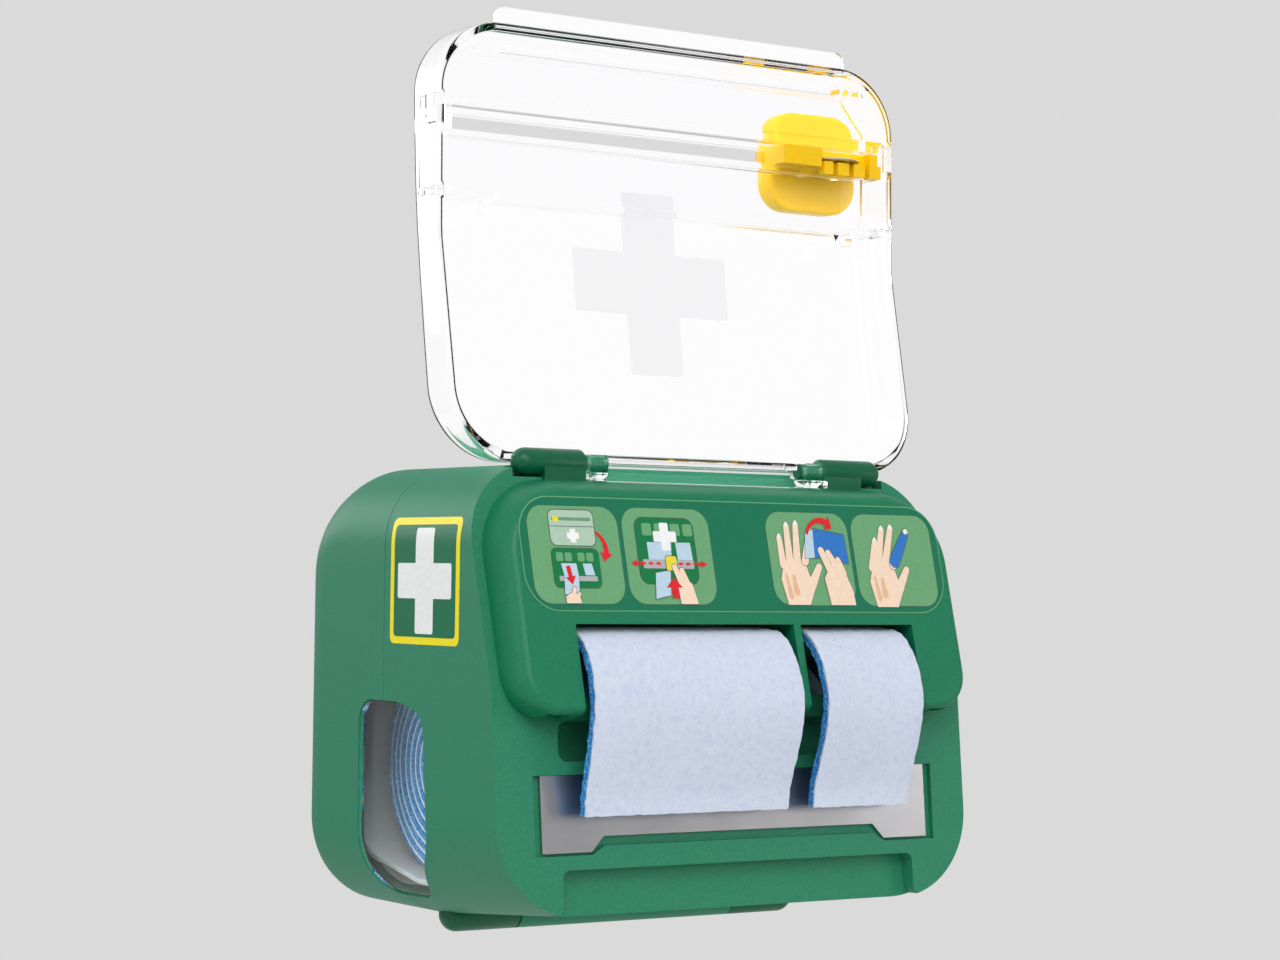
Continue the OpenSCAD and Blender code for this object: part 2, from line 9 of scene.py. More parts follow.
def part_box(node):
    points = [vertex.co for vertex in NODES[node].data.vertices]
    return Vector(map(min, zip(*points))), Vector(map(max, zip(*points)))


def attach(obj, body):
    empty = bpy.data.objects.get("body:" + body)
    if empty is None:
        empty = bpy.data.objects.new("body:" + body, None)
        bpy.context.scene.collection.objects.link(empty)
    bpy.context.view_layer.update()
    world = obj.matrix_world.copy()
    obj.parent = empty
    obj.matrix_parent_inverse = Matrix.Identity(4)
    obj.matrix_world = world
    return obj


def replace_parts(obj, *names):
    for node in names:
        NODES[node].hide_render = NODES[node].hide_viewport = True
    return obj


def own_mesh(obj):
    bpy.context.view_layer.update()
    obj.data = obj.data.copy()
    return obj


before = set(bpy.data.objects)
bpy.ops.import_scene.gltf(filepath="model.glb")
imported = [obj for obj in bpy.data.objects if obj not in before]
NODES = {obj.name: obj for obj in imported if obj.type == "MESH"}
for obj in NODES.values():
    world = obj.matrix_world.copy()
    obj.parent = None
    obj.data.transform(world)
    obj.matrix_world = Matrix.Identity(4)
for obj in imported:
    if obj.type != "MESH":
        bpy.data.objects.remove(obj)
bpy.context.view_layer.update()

# Sizes below are millimetres with z measured from the underside of the housing, as in the
# part's source. MOUNT_Z is the height of the wall screws, where the frame has its origin.
MM = 0.001
MOUNT_Z = 54.0


def point(x, y, z):
    return Vector((x * MM, y * MM, (z - MOUNT_Z) * MM))


def node_box(node):
    """Lowest and highest corner of a CAD node in the script's own units."""
    low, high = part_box(node)
    lift = Vector((0, 0, MOUNT_Z))
    return low / MM + lift, high / MM + lift


HALF_W = node_box("rear_shell")[1].x
HOUSE_TOP = 108.0
WALL = 2.4

# Side profile of the cover's front face: steep below the bend, sloping above it
FACE_LOW_Y = -104.5
FACE_BEND_Y = -99.3
BEND_Z = 54.0
UPPER_SLOPE = 0.286


def face_y(z):
    if z < BEND_Z:
        return FACE_LOW_Y + (FACE_BEND_Y - FACE_LOW_Y) * z / BEND_Z
    return FACE_BEND_Y + UPPER_SLOPE * (z - BEND_Z)


# ---------- materials ----------

def srgb(r, g, b):
    """Linear colour of an 8-bit display colour."""
    def channel(c):
        c /= 255
        return c / 12.92 if c <= 0.04045 else ((c + 0.055) / 1.055) ** 2.4
    return channel(r), channel(g), channel(b), 1.0


def scaled(colour, k):
    return tuple(min(1.0, c * k) for c in colour[:3]) + (1.0,)


class Graph:
    """Short ways to add nodes to a node tree."""

    def __init__(self, tree):
        self.tree = tree

    def link(self, a, b):
        self.tree.links.new(a, b)

    def add(self, kind, inputs=(), **values):
        """A new node; an input is given either a plain value or another node's output."""
        node = self.tree.nodes.new("ShaderNode" + kind)
        for key, value in values.items():
            setattr(node, key, value)
        for key, value in dict(inputs).items():
            if isinstance(value, bpy.types.NodeSocket):
                self.link(value, node.inputs[key])
            else:
                node.inputs[key].default_value = value
        return node

    def ramp(self, factor, stops):
        node = self.add("ValToRGB", {"Fac": factor})
        elements = node.color_ramp.elements
        while len(elements) < len(stops):
            elements.new(0.5)
        for element, (place, colour) in zip(elements, stops):
            element.position = place
            element.color = colour
        return node.outputs["Color"]


class Surface(Graph):
    """A new material, with short ways to set what its surface does."""

    def __init__(self, name):
        self.material = bpy.data.materials.new(name)
        self.material.use_nodes = True
        super().__init__(self.material.node_tree)
        self.bsdf = self.tree.nodes["Principled BSDF"]
        self.coords = self.add("TexCoord").outputs["Object"]

    def set(self, **values):
        for key, value in values.items():
            self.bsdf.inputs[key.replace("_", " ")].default_value = value

    def stretched(self, scale):
        return self.add("Mapping", {"Scale": scale, "Vector": self.coords}).outputs["Vector"]

    def noise(self, scale, detail=3.0, rough=0.55, vector=None, distort=0.0):
        inputs = {"Scale": scale, "Detail": detail, "Roughness": rough, "Distortion": distort,
                  "Vector": vector or self.coords}
        return self.add("TexNoise", inputs).outputs["Fac"]

    def cells(self, scale):
        return self.add("TexVoronoi", {"Scale": scale, "Vector": self.coords}).outputs["Distance"]

    def paint(self, factor, stops):
        self.link(self.ramp(factor, stops), self.bsdf.inputs["Base Color"])

    def roughen(self, factor, low, high):
        node = self.add("MapRange", {"To Min": low, "To Max": high, "Value": factor})
        self.link(node.outputs["Result"], self.bsdf.inputs["Roughness"])

    def bump(self, height, strength, distance, below=None):
        node = self.add("Bump", {"Strength": strength, "Distance": distance * MM, "Height": height})
        if below:
            self.link(below, node.inputs["Normal"])
        self.link(node.outputs["Normal"], self.bsdf.inputs["Normal"])
        return node.outputs["Normal"]


def moulded(name, colour, roughness=0.45, grain=1500, height=0.09, spread=0.13, specular=0.35):
    """Moulded plastic with a spark-eroded sand texture that catches the light in its grains."""
    m = Surface(name)
    m.set(IOR=1.5, Specular_IOR_Level=specular)
    sand = m.noise(grain, 3, 0.75)
    m.paint(sand, [(0.34, scaled(colour, 1 - spread)), (0.66, scaled(colour, 1 + spread))])
    m.roughen(sand, roughness - 0.07, roughness + 0.09)
    wave = m.bump(m.noise(60, 1), 0.15, 0.25)
    m.bump(sand, 0.7, height, wave)
    return m.material


def printed(name, colour):
    """Printed film: an even ink layer with a very faint orange-peel surface."""
    m = Surface(name)
    m.set(Specular_IOR_Level=0.35)
    ink = m.noise(900, 2)
    m.paint(ink, [(0.35, scaled(colour, 0.97)), (0.65, scaled(colour, 1.03))])
    m.roughen(ink, 0.34, 0.42)
    m.bump(m.noise(500, 1), 0.1, 0.02)
    return m.material


def clear(name, tint):
    """Clear moulded plastic that lets lamp light through to what lies behind it."""
    m = Surface(name)
    m.set(Base_Color=tint, Transmission_Weight=1.0, IOR=1.22)
    m.roughen(m.noise(90, 3), 0.015, 0.05)
    m.bump(m.noise(35, 1), 0.08, 0.12)
    through = m.add("BsdfTransparent", {"Color": (0.99, 0.99, 0.99, 1.0)}).outputs["BSDF"]
    shadow = m.add("LightPath").outputs["Is Shadow Ray"]
    mix = m.add("MixShader", {0: shadow, 1: m.bsdf.outputs["BSDF"], 2: through})
    m.link(mix.outputs["Shader"], m.tree.nodes["Material Output"].inputs["Surface"])
    return m.material


def brushed(name, colour, along=(1.0, 1.0, 1.0)):
    """Stainless steel; along is small in the direction of the brush strokes."""
    m = Surface(name)
    m.set(Metallic=1.0)
    strokes = m.noise(900, 4, 0.7, m.stretched(along))
    patches = m.noise(45, 3)
    m.paint(patches, [(0.3, scaled(colour, 0.86)), (0.7, scaled(colour, 1.08))])
    m.roughen(strokes, 0.22, 0.4)
    m.bump(strokes, 0.25, 0.02)
    return m.material


def foam_blue(name):
    """Open-cell blue foam, darker in its pores: painted shade in the pits."""
    m = Surface(name)
    m.set(Roughness=0.85, Specular_IOR_Level=0.2)
    pores = m.cells(1700)
    # The darker stops at the pore centres are painted shade in the pits that the bump below makes.
    m.paint(pores, [(0.1, srgb(22, 96, 178)), (0.5, srgb(52, 144, 220)), (0.9, srgb(120, 190, 240))])
    m.bump(pores, 0.8, 0.25)
    return m.material


def fleece(name):
    """White nonwoven with fibres and faint blue mottling from the foam behind it."""
    m = Surface(name)
    m.set(Roughness=0.9, Specular_IOR_Level=0.15, Sheen_Weight=0.15)
    mottle = m.noise(650, 5, 0.75)
    fibres = m.noise(700, 4, 0.75, m.stretched((3.0, 1.0, 0.8)), 1.2)
    base = m.ramp(mottle, [(0.24, srgb(192, 205, 231)), (0.46, srgb(213, 221, 238)),
                           (0.74, srgb(224, 230, 242))])
    fine = m.ramp(fibres, [(0.3, (0.9, 0.93, 0.97, 1)), (0.6, (1, 1, 1, 1))])
    mix = m.add("Mix", {"Factor": 0.8, "A": base, "B": fine}, data_type="RGBA", blend_type="MULTIPLY")
    m.link(mix.outputs["Result"], m.bsdf.inputs["Base Color"])
    m.bump(fibres, 0.5, 0.12)
    return m.material


def frosted(name):
    """Thin translucent white print on the clear lid."""
    m = Surface(name)
    m.set(Base_Color=(0.87, 0.87, 0.875, 1), Transmission_Weight=0.97, IOR=1.05, Specular_IOR_Level=0.2)
    m.roughen(m.noise(1200, 2), 0.3, 0.4)
    return m.material


GREEN = moulded("green_sand_plastic", srgb(40, 132, 98), 0.46)
DARK_GREEN = moulded("green_hood_plastic", srgb(14, 122, 84), 0.4, 1300, 0.08, 0.11)
# Glossy green for the hinge knuckles and pins. Its dark tone is painted shade, matched to the shadowed barrel
# under the housing.
SHADED_GLOSS_GREEN = moulded("green_hinge_plastic_painted_shade", srgb(0, 96, 64), 0.32, 1500, 0.05, 0.07)
GREY = moulded("grey_tray_plastic", srgb(205, 205, 210), 0.42, 1200, 0.03, 0.04)
YELLOW = moulded("yellow_plastic", srgb(255, 202, 0), 0.3, 900, 0.015, 0.03, 0.25)
CLEAR = clear("clear_lid_plastic", (0.984, 0.982, 0.988, 1.0))
PANE = clear("clear_window_plastic", (0.93, 0.985, 0.96, 1.0))
PLATE_STEEL = brushed("brushed_plate", (0.52, 0.51, 0.52, 1), (0.05, 1, 1))
BRIGHT_STEEL = brushed("bright_steel", (0.66, 0.66, 0.67, 1))
FOAM = foam_blue("blue_foam")
FLEECE = fleece("white_fleece")
LABEL_GREEN = printed("label_green", srgb(8, 116, 82))
PANEL_GREEN = printed("label_light_green", srgb(108, 168, 118))
WHITE_INK = printed("label_white", srgb(246, 248, 247))
OUTLINE = printed("label_outline", srgb(70, 82, 74))
SKIN = printed("label_skin", srgb(250, 222, 196))
SHADE = printed("label_skin_shade", srgb(236, 190, 150))
RED = printed("label_red", srgb(226, 30, 38))
BLUE_INK = printed("label_blue", srgb(45, 120, 200))
PALE_BLUE = printed("label_pale_blue", srgb(190, 216, 232))
MINT = printed("label_mint", srgb(178, 205, 184))
DEEP_INK = printed("label_deep_green", srgb(0, 122, 66))
GREY_INK = printed("label_grey", srgb(178, 180, 180))
YELLOW_INK = printed("label_yellow", srgb(236, 222, 60))
STICKER_YELLOW = printed("sticker_yellow", srgb(252, 236, 8))
STICKER_GREEN = printed("sticker_green", srgb(0, 112, 74))
FROST = frosted("frosted_print")


# ---------- mesh helpers ----------

def linked(name, data):
    """A new object in the scene."""
    obj = bpy.data.objects.new(name, data)
    bpy.context.scene.collection.objects.link(obj)
    return obj


def mesh_object(name, bm):
    mesh = bpy.data.meshes.new(name)
    bm.to_mesh(mesh)
    bm.free()
    return linked(name, mesh)


def from_bmesh(name, bm, materials, body, slot, sharp=35):
    """An object from a mesh, smooth except at edges over the sharp angle, riding on a body."""
    obj = mesh_object(name, bm)
    for material in materials:
        obj.data.materials.append(material)
    shade(obj, sharp)
    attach(obj, body)
    return obj


def closed_form(name, bm, *settings):
    """An object from a mesh whose faces are first turned outwards."""
    bmesh.ops.recalc_face_normals(bm, faces=bm.faces)
    return from_bmesh(name, bm, *settings)


def shade(obj, sharp):
    obj.data.shade_smooth()
    obj.data.set_sharp_from_angle(angle=math.radians(sharp))


def apply_modifiers(obj):
    depsgraph = bpy.context.evaluated_depsgraph_get()
    mesh = bpy.data.meshes.new_from_object(obj.evaluated_get(depsgraph))
    obj.modifiers.clear()
    obj.data = mesh


def bevel(obj, width, segments=3, angle=32):
    """Rounds every edge sharper than the angle and applies it."""
    mod = obj.modifiers.new("bevel", "BEVEL")
    mod.width = width * MM
    mod.segments = segments
    mod.limit_method = "ANGLE"
    mod.angle_limit = math.radians(angle)
    mod.miter_outer = "MITER_ARC"
    apply_modifiers(obj)
    shade(obj, 50)
    flatten(obj)


def flatten(obj):
    """Shades large faces flat, so that their small rounded edges carry all of the turn."""
    mod = obj.modifiers.new("normals", "WEIGHTED_NORMAL")
    mod.weight = 100
    mod.keep_sharp = True
    apply_modifiers(obj)


def refined(node, material, body, slot, width, segments=3):
    """A copy of a CAD node with clean faces and rounded edges, in place of the node."""
    bm = bmesh.new()
    bm.from_mesh(NODES[node].data)
    bmesh.ops.remove_doubles(bm, verts=bm.verts, dist=0.002 * MM)
    bmesh.ops.dissolve_limit(bm, angle_limit=math.radians(0.6), verts=bm.verts, edges=bm.edges)
    obj = from_bmesh("visual_" + node, bm, [material], body, slot)
    bevel(obj, width, segments)
    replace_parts(obj, node)


def cutter_box(x, y, z):
    bm = bmesh.new()
    bmesh.ops.create_cube(bm, size=1)
    low, high = point(x[0], y[0], z[0]), point(x[1], y[1], z[1])
    for v in bm.verts:
        v.co = Vector(low[i] if v.co[i] < 0 else high[i] for i in range(3))
    return bm


def rod(centre, length, r, axis):
    """A closed cylinder along an axis, about its centre."""
    bm = bmesh.new()
    turn = Matrix.Translation(centre) @ Matrix.Rotation(math.pi / 2, 4, axis)
    bmesh.ops.create_cone(bm, segments=48, radius1=r * MM, radius2=r * MM, depth=length * MM,
                          cap_ends=True, matrix=turn)
    return bm


def cutter_rod(x0, x1, r, y, z):
    return rod(point((x0 + x1) / 2, y, z), x1 - x0, r, "Y")


def wall_rod(x, z, r, y0, y1):
    return rod(point(x, (y0 + y1) / 2, z), y1 - y0, r, "X")


def quarter(steps):
    """Angles from 0 to 90 degrees in even steps."""
    return [math.radians(90 * i / steps) for i in range(steps + 1)]


def arc(cu, cw, r, a0, a1, steps=8):
    """Points on a circle between two angles in degrees."""
    angles = [math.radians(a0 + (a1 - a0) * i / steps) for i in range(steps + 1)]
    return [(cu + r * math.cos(a), cw + r * math.sin(a)) for a in angles]


def bridge(bm, a, b):
    """Faces between two closed rings of the same length."""
    n = len(a)
    return [bm.faces.new((a[i], a[(i + 1) % n], b[(i + 1) % n], b[i])) for i in range(n)]


def tube(bm, rings):
    for a, b in zip(rings, rings[1:]):
        bridge(bm, a, b)


def slab(bm, a, b):
    """A closed solid between two rings of the same outline."""
    bm.faces.new(a)
    bm.faces.new(reversed(b))
    bridge(bm, a, b)


def boolean(obj, forms):
    """Cuts the bmesh forms out of the object, one after another."""
    for bm in forms:
        bmesh.ops.recalc_face_normals(bm, faces=bm.faces)
        tool = mesh_object("tool", bm)
        mod = obj.modifiers.new("cut", "BOOLEAN")
        mod.object = tool
        mod.operation = "DIFFERENCE"
        mod.solver = "EXACT"
        apply_modifiers(obj)
        mesh = tool.data
        bpy.data.objects.remove(tool)
        bpy.data.meshes.remove(mesh)


class Outline:
    """A rounded rectangle in X and Z as one ring of points.

    The ring starts with the bottom edge from left to right, climbs the right side, returns along
    the top edge and comes down the left side, so that rows of equal height face each other."""

    def __init__(self, half_w, z0, z1, r_top, r_low, arc=14, side=10, cols=24):
        self.size = (half_w, z0, z1, r_top, r_low)
        self.arc, self.side, self.cols = arc, side, cols

    def rows(self, inset):
        half_w, z0, z1, r_top, r_low = self.size
        half_w, z0, z1 = half_w - inset, z0 + inset, z1 - inset
        r_top, r_low = max(r_top - inset, 0.3), max(r_low - inset, 0.3)
        chain = []
        for a in quarter(self.arc):
            chain.append((half_w - r_low + r_low * math.sin(a), z0 + r_low - r_low * math.cos(a)))
        for i in range(1, self.side):
            chain.append((half_w, z0 + r_low + (z1 - r_top - z0 - r_low) * i / self.side))
        for a in quarter(self.arc):
            chain.append((half_w - r_top + r_top * math.cos(a), z1 - r_top + r_top * math.sin(a)))
        return chain

    def ring(self, inset):
        chain = self.rows(inset)
        (xb, zb), (xt, zt) = chain[0], chain[-1]
        span = [2 * i / self.cols - 1 for i in range(self.cols + 1)]
        return ([(xb * s, zb) for s in span] + chain[1:-1] + [(xt * -s, zt) for s in span]
                + [(-x, z) for x, z in reversed(chain[1:-1])])

    def cap(self, bm, ring, inset, height):
        """Fills the last ring with a grid; height gives y for each x and z."""
        chain = self.rows(inset)
        last, cols = len(chain) - 1, self.cols
        rows = [ring[:cols + 1]]
        for i in range(1, last):
            x, z = chain[i]
            row = [ring[len(ring) - i]]
            for j in range(1, cols):
                px = x * (2 * j / cols - 1)
                row.append(bm.verts.new(point(px, height(px, z), z)))
            rows.append(row + [ring[cols + i]])
        rows.append(list(reversed(ring[cols + last:cols + last + cols + 1])))
        for low, high in zip(rows, rows[1:]):
            for j in range(cols):
                bm.faces.new((low[j], low[j + 1], high[j + 1], high[j]))


def loft(bm, outline, sections):
    """Rings joined by faces; each section is (inset, function of x and z that gives y)."""
    rings = []
    for inset, height in sections:
        rings.append([bm.verts.new(point(x, height(x, z), z)) for x, z in outline.ring(inset)])
    tube(bm, rings)
    return rings


def prism(bm, outline_points, y0, y1):
    """Adds a closed solid with an outline in X and Z between two values of y."""
    slab(bm, *([bm.verts.new(point(x, y, z)) for x, z in outline_points] for y in (y0, y1)))


def interpolate(points, t):
    """Value on a line through (t, value) points."""
    if t <= points[0][0]:
        return points[0][1]
    for (t0, v0), (t1, v1) in zip(points, points[1:]):
        if t <= t1:
            return v0 + (v1 - v0) * (t - t0) / (t1 - t0)
    return points[-1][1]


def smoothed(points, t, reach):
    """The same line with its corners rounded over the reach to each side."""
    steps = 6
    return sum(interpolate(points, t + reach * i / steps) for i in range(-steps, steps + 1)) / (2 * steps + 1)


# ---------- housing ----------

WINDOW = (arc(-41, 43.2, 6, 0, 90) + arc(-52, 20, 29.2, 90, 104, 3) + arc(-61.5, 41.5, 6, 100, 175)
          + arc(-59.8, 18, 9.8, 178, 225, 6) + arc(-55, 9.4, 9, 225, 270, 6) + arc(-45, 10.4, 10, 270, 360))
LOW_DROP = 4.7
CORNER_TOP = 20.0
CORNER_LOW = 22.0
BACK_SIDE_R = 14
BACK_LOW_R = 12
BACK_TOP_R = 26
COVER_AXIS = (-49.0, -4.9)
BARREL_R = 4.3
BARREL_INNER = 33.2
BARREL_OUTER = 50.2
SCREW_R = 2.25
BOSS_R = 5.5
SIDES = (("left", -1), ("right", 1))
SCREWS = [(sx * 45.0, MOUNT_Z + sz * 25.0) for sx in (-1, 1) for sz in (-1, 1)]


def side_prism(bm, outline_points, x0, x1):
    """Adds a closed solid with an outline in Y and Z between two values of x."""
    slab(bm, *([bm.verts.new(point(x, y, z)) for y, z in outline_points] for x in (x0, x1)))
    return bm


def rear_station(y, t):
    """The rear shell's outline at a distance from the wall, shrunk by the wall thickness t."""
    depth = -t - y

    def curve(radius):
        r = radius - t
        return 0.0 if depth >= r else r - math.sqrt(max(0.0, r * r - (r - depth) ** 2))

    return Outline(HALF_W - t - curve(BACK_SIDE_R), t - LOW_DROP + curve(BACK_LOW_R),
                   HOUSE_TOP - t - curve(BACK_TOP_R), CORNER_TOP - t, CORNER_LOW - t,
                   arc=16, side=12, cols=20)


def make_rear_shell():
    """The rear shell with corners that round off in every direction towards the wall."""
    front, edge, steps = -47.25, 0.2, 16
    bm = bmesh.new()
    rings, first = [], None

    def add_ring(y, t, inset=0.0):
        outline = rear_station(y, t)
        ring = [bm.verts.new(point(x, y, z)) for x, z in outline.ring(inset)]
        if rings:
            bridge(bm, rings[-1], ring)
        rings.append(ring)
        return outline, ring

    for t, order in ((WALL, 1), (0.0, -1)):
        depths = [BACK_TOP_R * (1 - math.sin(a)) for a in quarter(steps)]
        stations = [-t - d for d in depths]
        stations = ([front + edge if order < 0 else front, -44, -38, -32] + [y for y in stations if y > -30])
        if order < 0:
            stations.reverse()
        for k, y in enumerate(stations):
            outline, ring = add_ring(y, t)
            first = ring if k == 0 else first
            if (order > 0 and k == len(stations) - 1) or (order < 0 and k == 0):
                outline.cap(bm, ring, 0.0, lambda x, z, y=y: y)
                if order > 0:
                    rings.clear()
        if order < 0:
            add_ring(front, 0.0, edge)
            outer_front = rings[-1]
        else:
            inner_front = first
    bridge(bm, outer_front, inner_front)
    obj = closed_form("visual_rear_shell", bm, [GREEN], "housing", "green_plastic")
    cuts = [side_prism(bmesh.new(), WINDOW, *x)
            for x in ((-HALF_W - 5, 26 - HALF_W), (HALF_W - 26, HALF_W + 5))]
    cuts.append(cutter_rod(-BARREL_INNER, BARREL_INNER, BARREL_R + 0.3, *COVER_AXIS))
    cuts += [wall_rod(x, z, SCREW_R, -9, 1) for x, z in SCREWS]
    boolean(obj, cuts)
    shade(obj, 40)
    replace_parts(obj, "rear_shell")
    for number, (x, z) in enumerate(SCREWS, 1):
        bm = wall_rod(x, z, BOSS_R, -5, 0.1 - WALL)
        boss = from_bmesh(f"screw_boss_{number}", bm, [GREEN], "housing", "green_plastic")
        boolean(boss, [wall_rod(x, z, SCREW_R, -9, 1)])
        bevel(boss, 0.3, 2, 50)
    for side, sign in SIDES:
        make_rear_knuckle(side, sign)


def domed_barrel(sign, start, end, radius, axis):
    """A barrel along X, closed at its inner end and with a round dome at the outer one."""
    ring, steps = 48, 12
    profile = [(start, 0.0), (start, radius - 0.5), (start + 0.15, radius - 0.15), (start + 0.5, radius)]
    profile += [(end + radius * math.sin(a), radius * math.cos(a)) for a in quarter(steps)]
    bm = bmesh.new()
    turns = [2 * math.pi * k / ring for k in range(ring)]
    tube(bm, [[bm.verts.new(point(sign * x, axis[0] + r * math.sin(a), axis[1] + r * math.cos(a)))
               for a in turns] for x, r in profile])
    bmesh.ops.remove_doubles(bm, verts=bm.verts, dist=0.01 * MM)
    bmesh.ops.recalc_face_normals(bm, faces=bm.faces)
    return bm


def make_rear_knuckle(side, sign):
    barrel = domed_barrel(sign, BARREL_INNER, BARREL_OUTER, BARREL_R, COVER_AXIS)
    # The barrel is the housing's green plastic. Its darker colour here is painted shade.
    from_bmesh("cover_knuckle_" + side, barrel, [SHADED_GLOSS_GREEN], "housing", "green_plastic", 40)
    foot = cutter_box(sorted((sign * BARREL_INNER, sign * 48.5)), (-49, -43), (-6.9, -2.6))
    bevel(from_bmesh("cover_knuckle_foot_" + side, foot, [GREEN], "housing", "green_plastic"), 0.4, 2)


def make_housing():
    make_rear_shell()
    for node, width in (("roll_tray", 0.3), ("roll_dividers", 0.3), ("cover_catches", 0.25)):
        refined(node, GREY, "housing", "grey_plastic", width, 2)
    refined("cover_hinge_rod", BRIGHT_STEEL, "housing", "steel", 0.2, 2)
    for side in ("window_left", "window_right"):
        refined(side, PANE, "housing", "clear_plastic", 0.3, 2)


def make_roll(node, body, seed):
    """A wound roll: a blue foam ribbon and a white fleece ribbon in one spiral."""
    low, high = node_box(node)
    axis_y, axis_z = (low.y + high.y) / 2, (low.z + high.z) / 2
    outer, core, pitch, per_turn = (high.z - low.z) / 2, 7.0, 2.2, 72
    turns = (outer - core) / pitch
    steps = int(turns * per_turn)
    rng = random.Random(seed)
    sway = [rng.uniform(-0.35, 0.35) for _ in range(int(turns) + 3)]
    bm = bmesh.new()
    for index, (inner, outer_edge) in enumerate(((0.1, 1.35), (1.35, 2.05))):
        previous = None
        for i in range(steps + 1):
            turn = i / per_turn
            a = math.radians(200) + 2 * math.pi * (turn - turns)
            r = core + pitch * (turn - 1) * (turns / (turns - 1)) if turn > 1 else core
            wobble = 0.12 * noise.noise(Vector((turn * 3, seed, 0)))
            k = int(turn)
            shift = sway[k] + (sway[k + 1] - sway[k]) * (turn - k)
            section = []
            for x, layer in ((low.x, inner), (low.x, outer_edge), (high.x, outer_edge), (high.x, inner)):
                edge = shift * (0.5 if x == low.x else -0.5) + 0.3 * (1 if x == low.x else -1)
                rr = min(r + layer + wobble, outer - 0.02)
                place = point(x + edge, axis_y + rr * math.sin(a), axis_z + rr * math.cos(a))
                section.append(bm.verts.new(place))
            if previous:
                for face in bridge(bm, previous, section):
                    face.material_index = index
            else:
                bm.faces.new(section).material_index = index
            previous = section
        bm.faces.new(reversed(previous)).material_index = index
    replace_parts(closed_form("visual_" + node, bm, [FOAM, FLEECE], body, "foam_bandage", 50), node)


# ---------- hood ----------

HOOD = Outline(68.7, 46.8, 104.2, 19, 11, arc=18, side=10, cols=30)
HOOD_ROOT_Z = 51.0
HOOD_TOP_Z = 101.0
HOOD_FACE_LOW = FACE_BEND_Y - UPPER_SLOPE * (BEND_Z - HOOD_ROOT_Z) - 9.4
HOOD_SLOPE = (face_y(HOOD_TOP_Z) - 10.6 - HOOD_FACE_LOW) / (HOOD_TOP_Z - HOOD_ROOT_Z)
SLOT_HALF = 51.4
SLOT_TOP = 69.5
DIVIDER = (13.4, 15.6)
LID_AXIS = (-83.0, 108.7)


def hood_face(z):
    return HOOD_FACE_LOW + HOOD_SLOPE * (z - HOOD_ROOT_Z)


def make_hood():
    """The brow over the outlets: one swelling form with the slots cut through it."""
    inset_full, steps = 3.6, 12
    bm = bmesh.new()
    sections = [(0.0, lambda x, z: face_y(z) - 0.02)]
    for a in quarter(steps)[1:]:
        rise = math.sin(a) ** 0.9
        sections.append((inset_full * (1 - math.cos(a)),
                         lambda x, z, k=rise: face_y(z) + (hood_face(z) - face_y(z)) * k))
    rings = loft(bm, HOOD, sections)
    HOOD.cap(bm, rings[-1], inset_full, lambda x, z: hood_face(z))
    HOOD.cap(bm, rings[0], 0.0, lambda x, z: face_y(z) - 0.02)
    obj = closed_form("visual_hood", bm, [DARK_GREEN], "cover", "dark_green_plastic")
    slots = [cutter_box(x, (-130, -80), (40, SLOT_TOP))
             for x in ((-SLOT_HALF, DIVIDER[0]), (DIVIDER[1], SLOT_HALF))]
    notches = [cutter_box(x, (-108, -101.3), (44, 51.6)) for x in ((54.6, 60.6), (-60.6, -54.6))]
    boolean(obj, slots + notches)
    bevel(obj, 0.5, 2, 40)
    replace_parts(obj, "hood")
    for side, sign in SIDES:
        make_knuckle(side, sign)


def make_knuckle(side, sign):
    """Green hinge knuckle: a barrel with one domed end on a tapering foot."""
    radius, start, end = 3.4, 36.9, 53.0
    bm = domed_barrel(sign, start, end, radius, LID_AXIS)
    foot = [(LID_AXIS[0] - radius + 0.2, 108.2), (LID_AXIS[0] - radius + 0.2, 104.6),
            (LID_AXIS[0] - radius - 1.6, 101.0), (face_y(100) + 0.2, 100.0), (face_y(104) + 0.6, 104.0),
            (LID_AXIS[0] + 0.4, 106.4), (LID_AXIS[0] + 0.4, 108.2)]
    side_prism(bm, foot, sign * (start + 0.1), sign * (end - 4.0))
    closed_form("hinge_knuckle_" + side, bm, [SHADED_GLOSS_GREEN], "cover", "dark_green_plastic", 40)


def make_cover():
    refined("front_shell", GREEN, "cover", "green_plastic", 0.35)
    refined("cutting_plate", PLATE_STEEL, "cover", "steel", 0.12, 2)
    refined("lid_hinge_pins", SHADED_GLOSS_GREEN, "cover", "dark_green_plastic", 0.25, 2)
    make_hood()
    make_label()
    make_sticker()
    make_strips()


# ---------- prints ----------

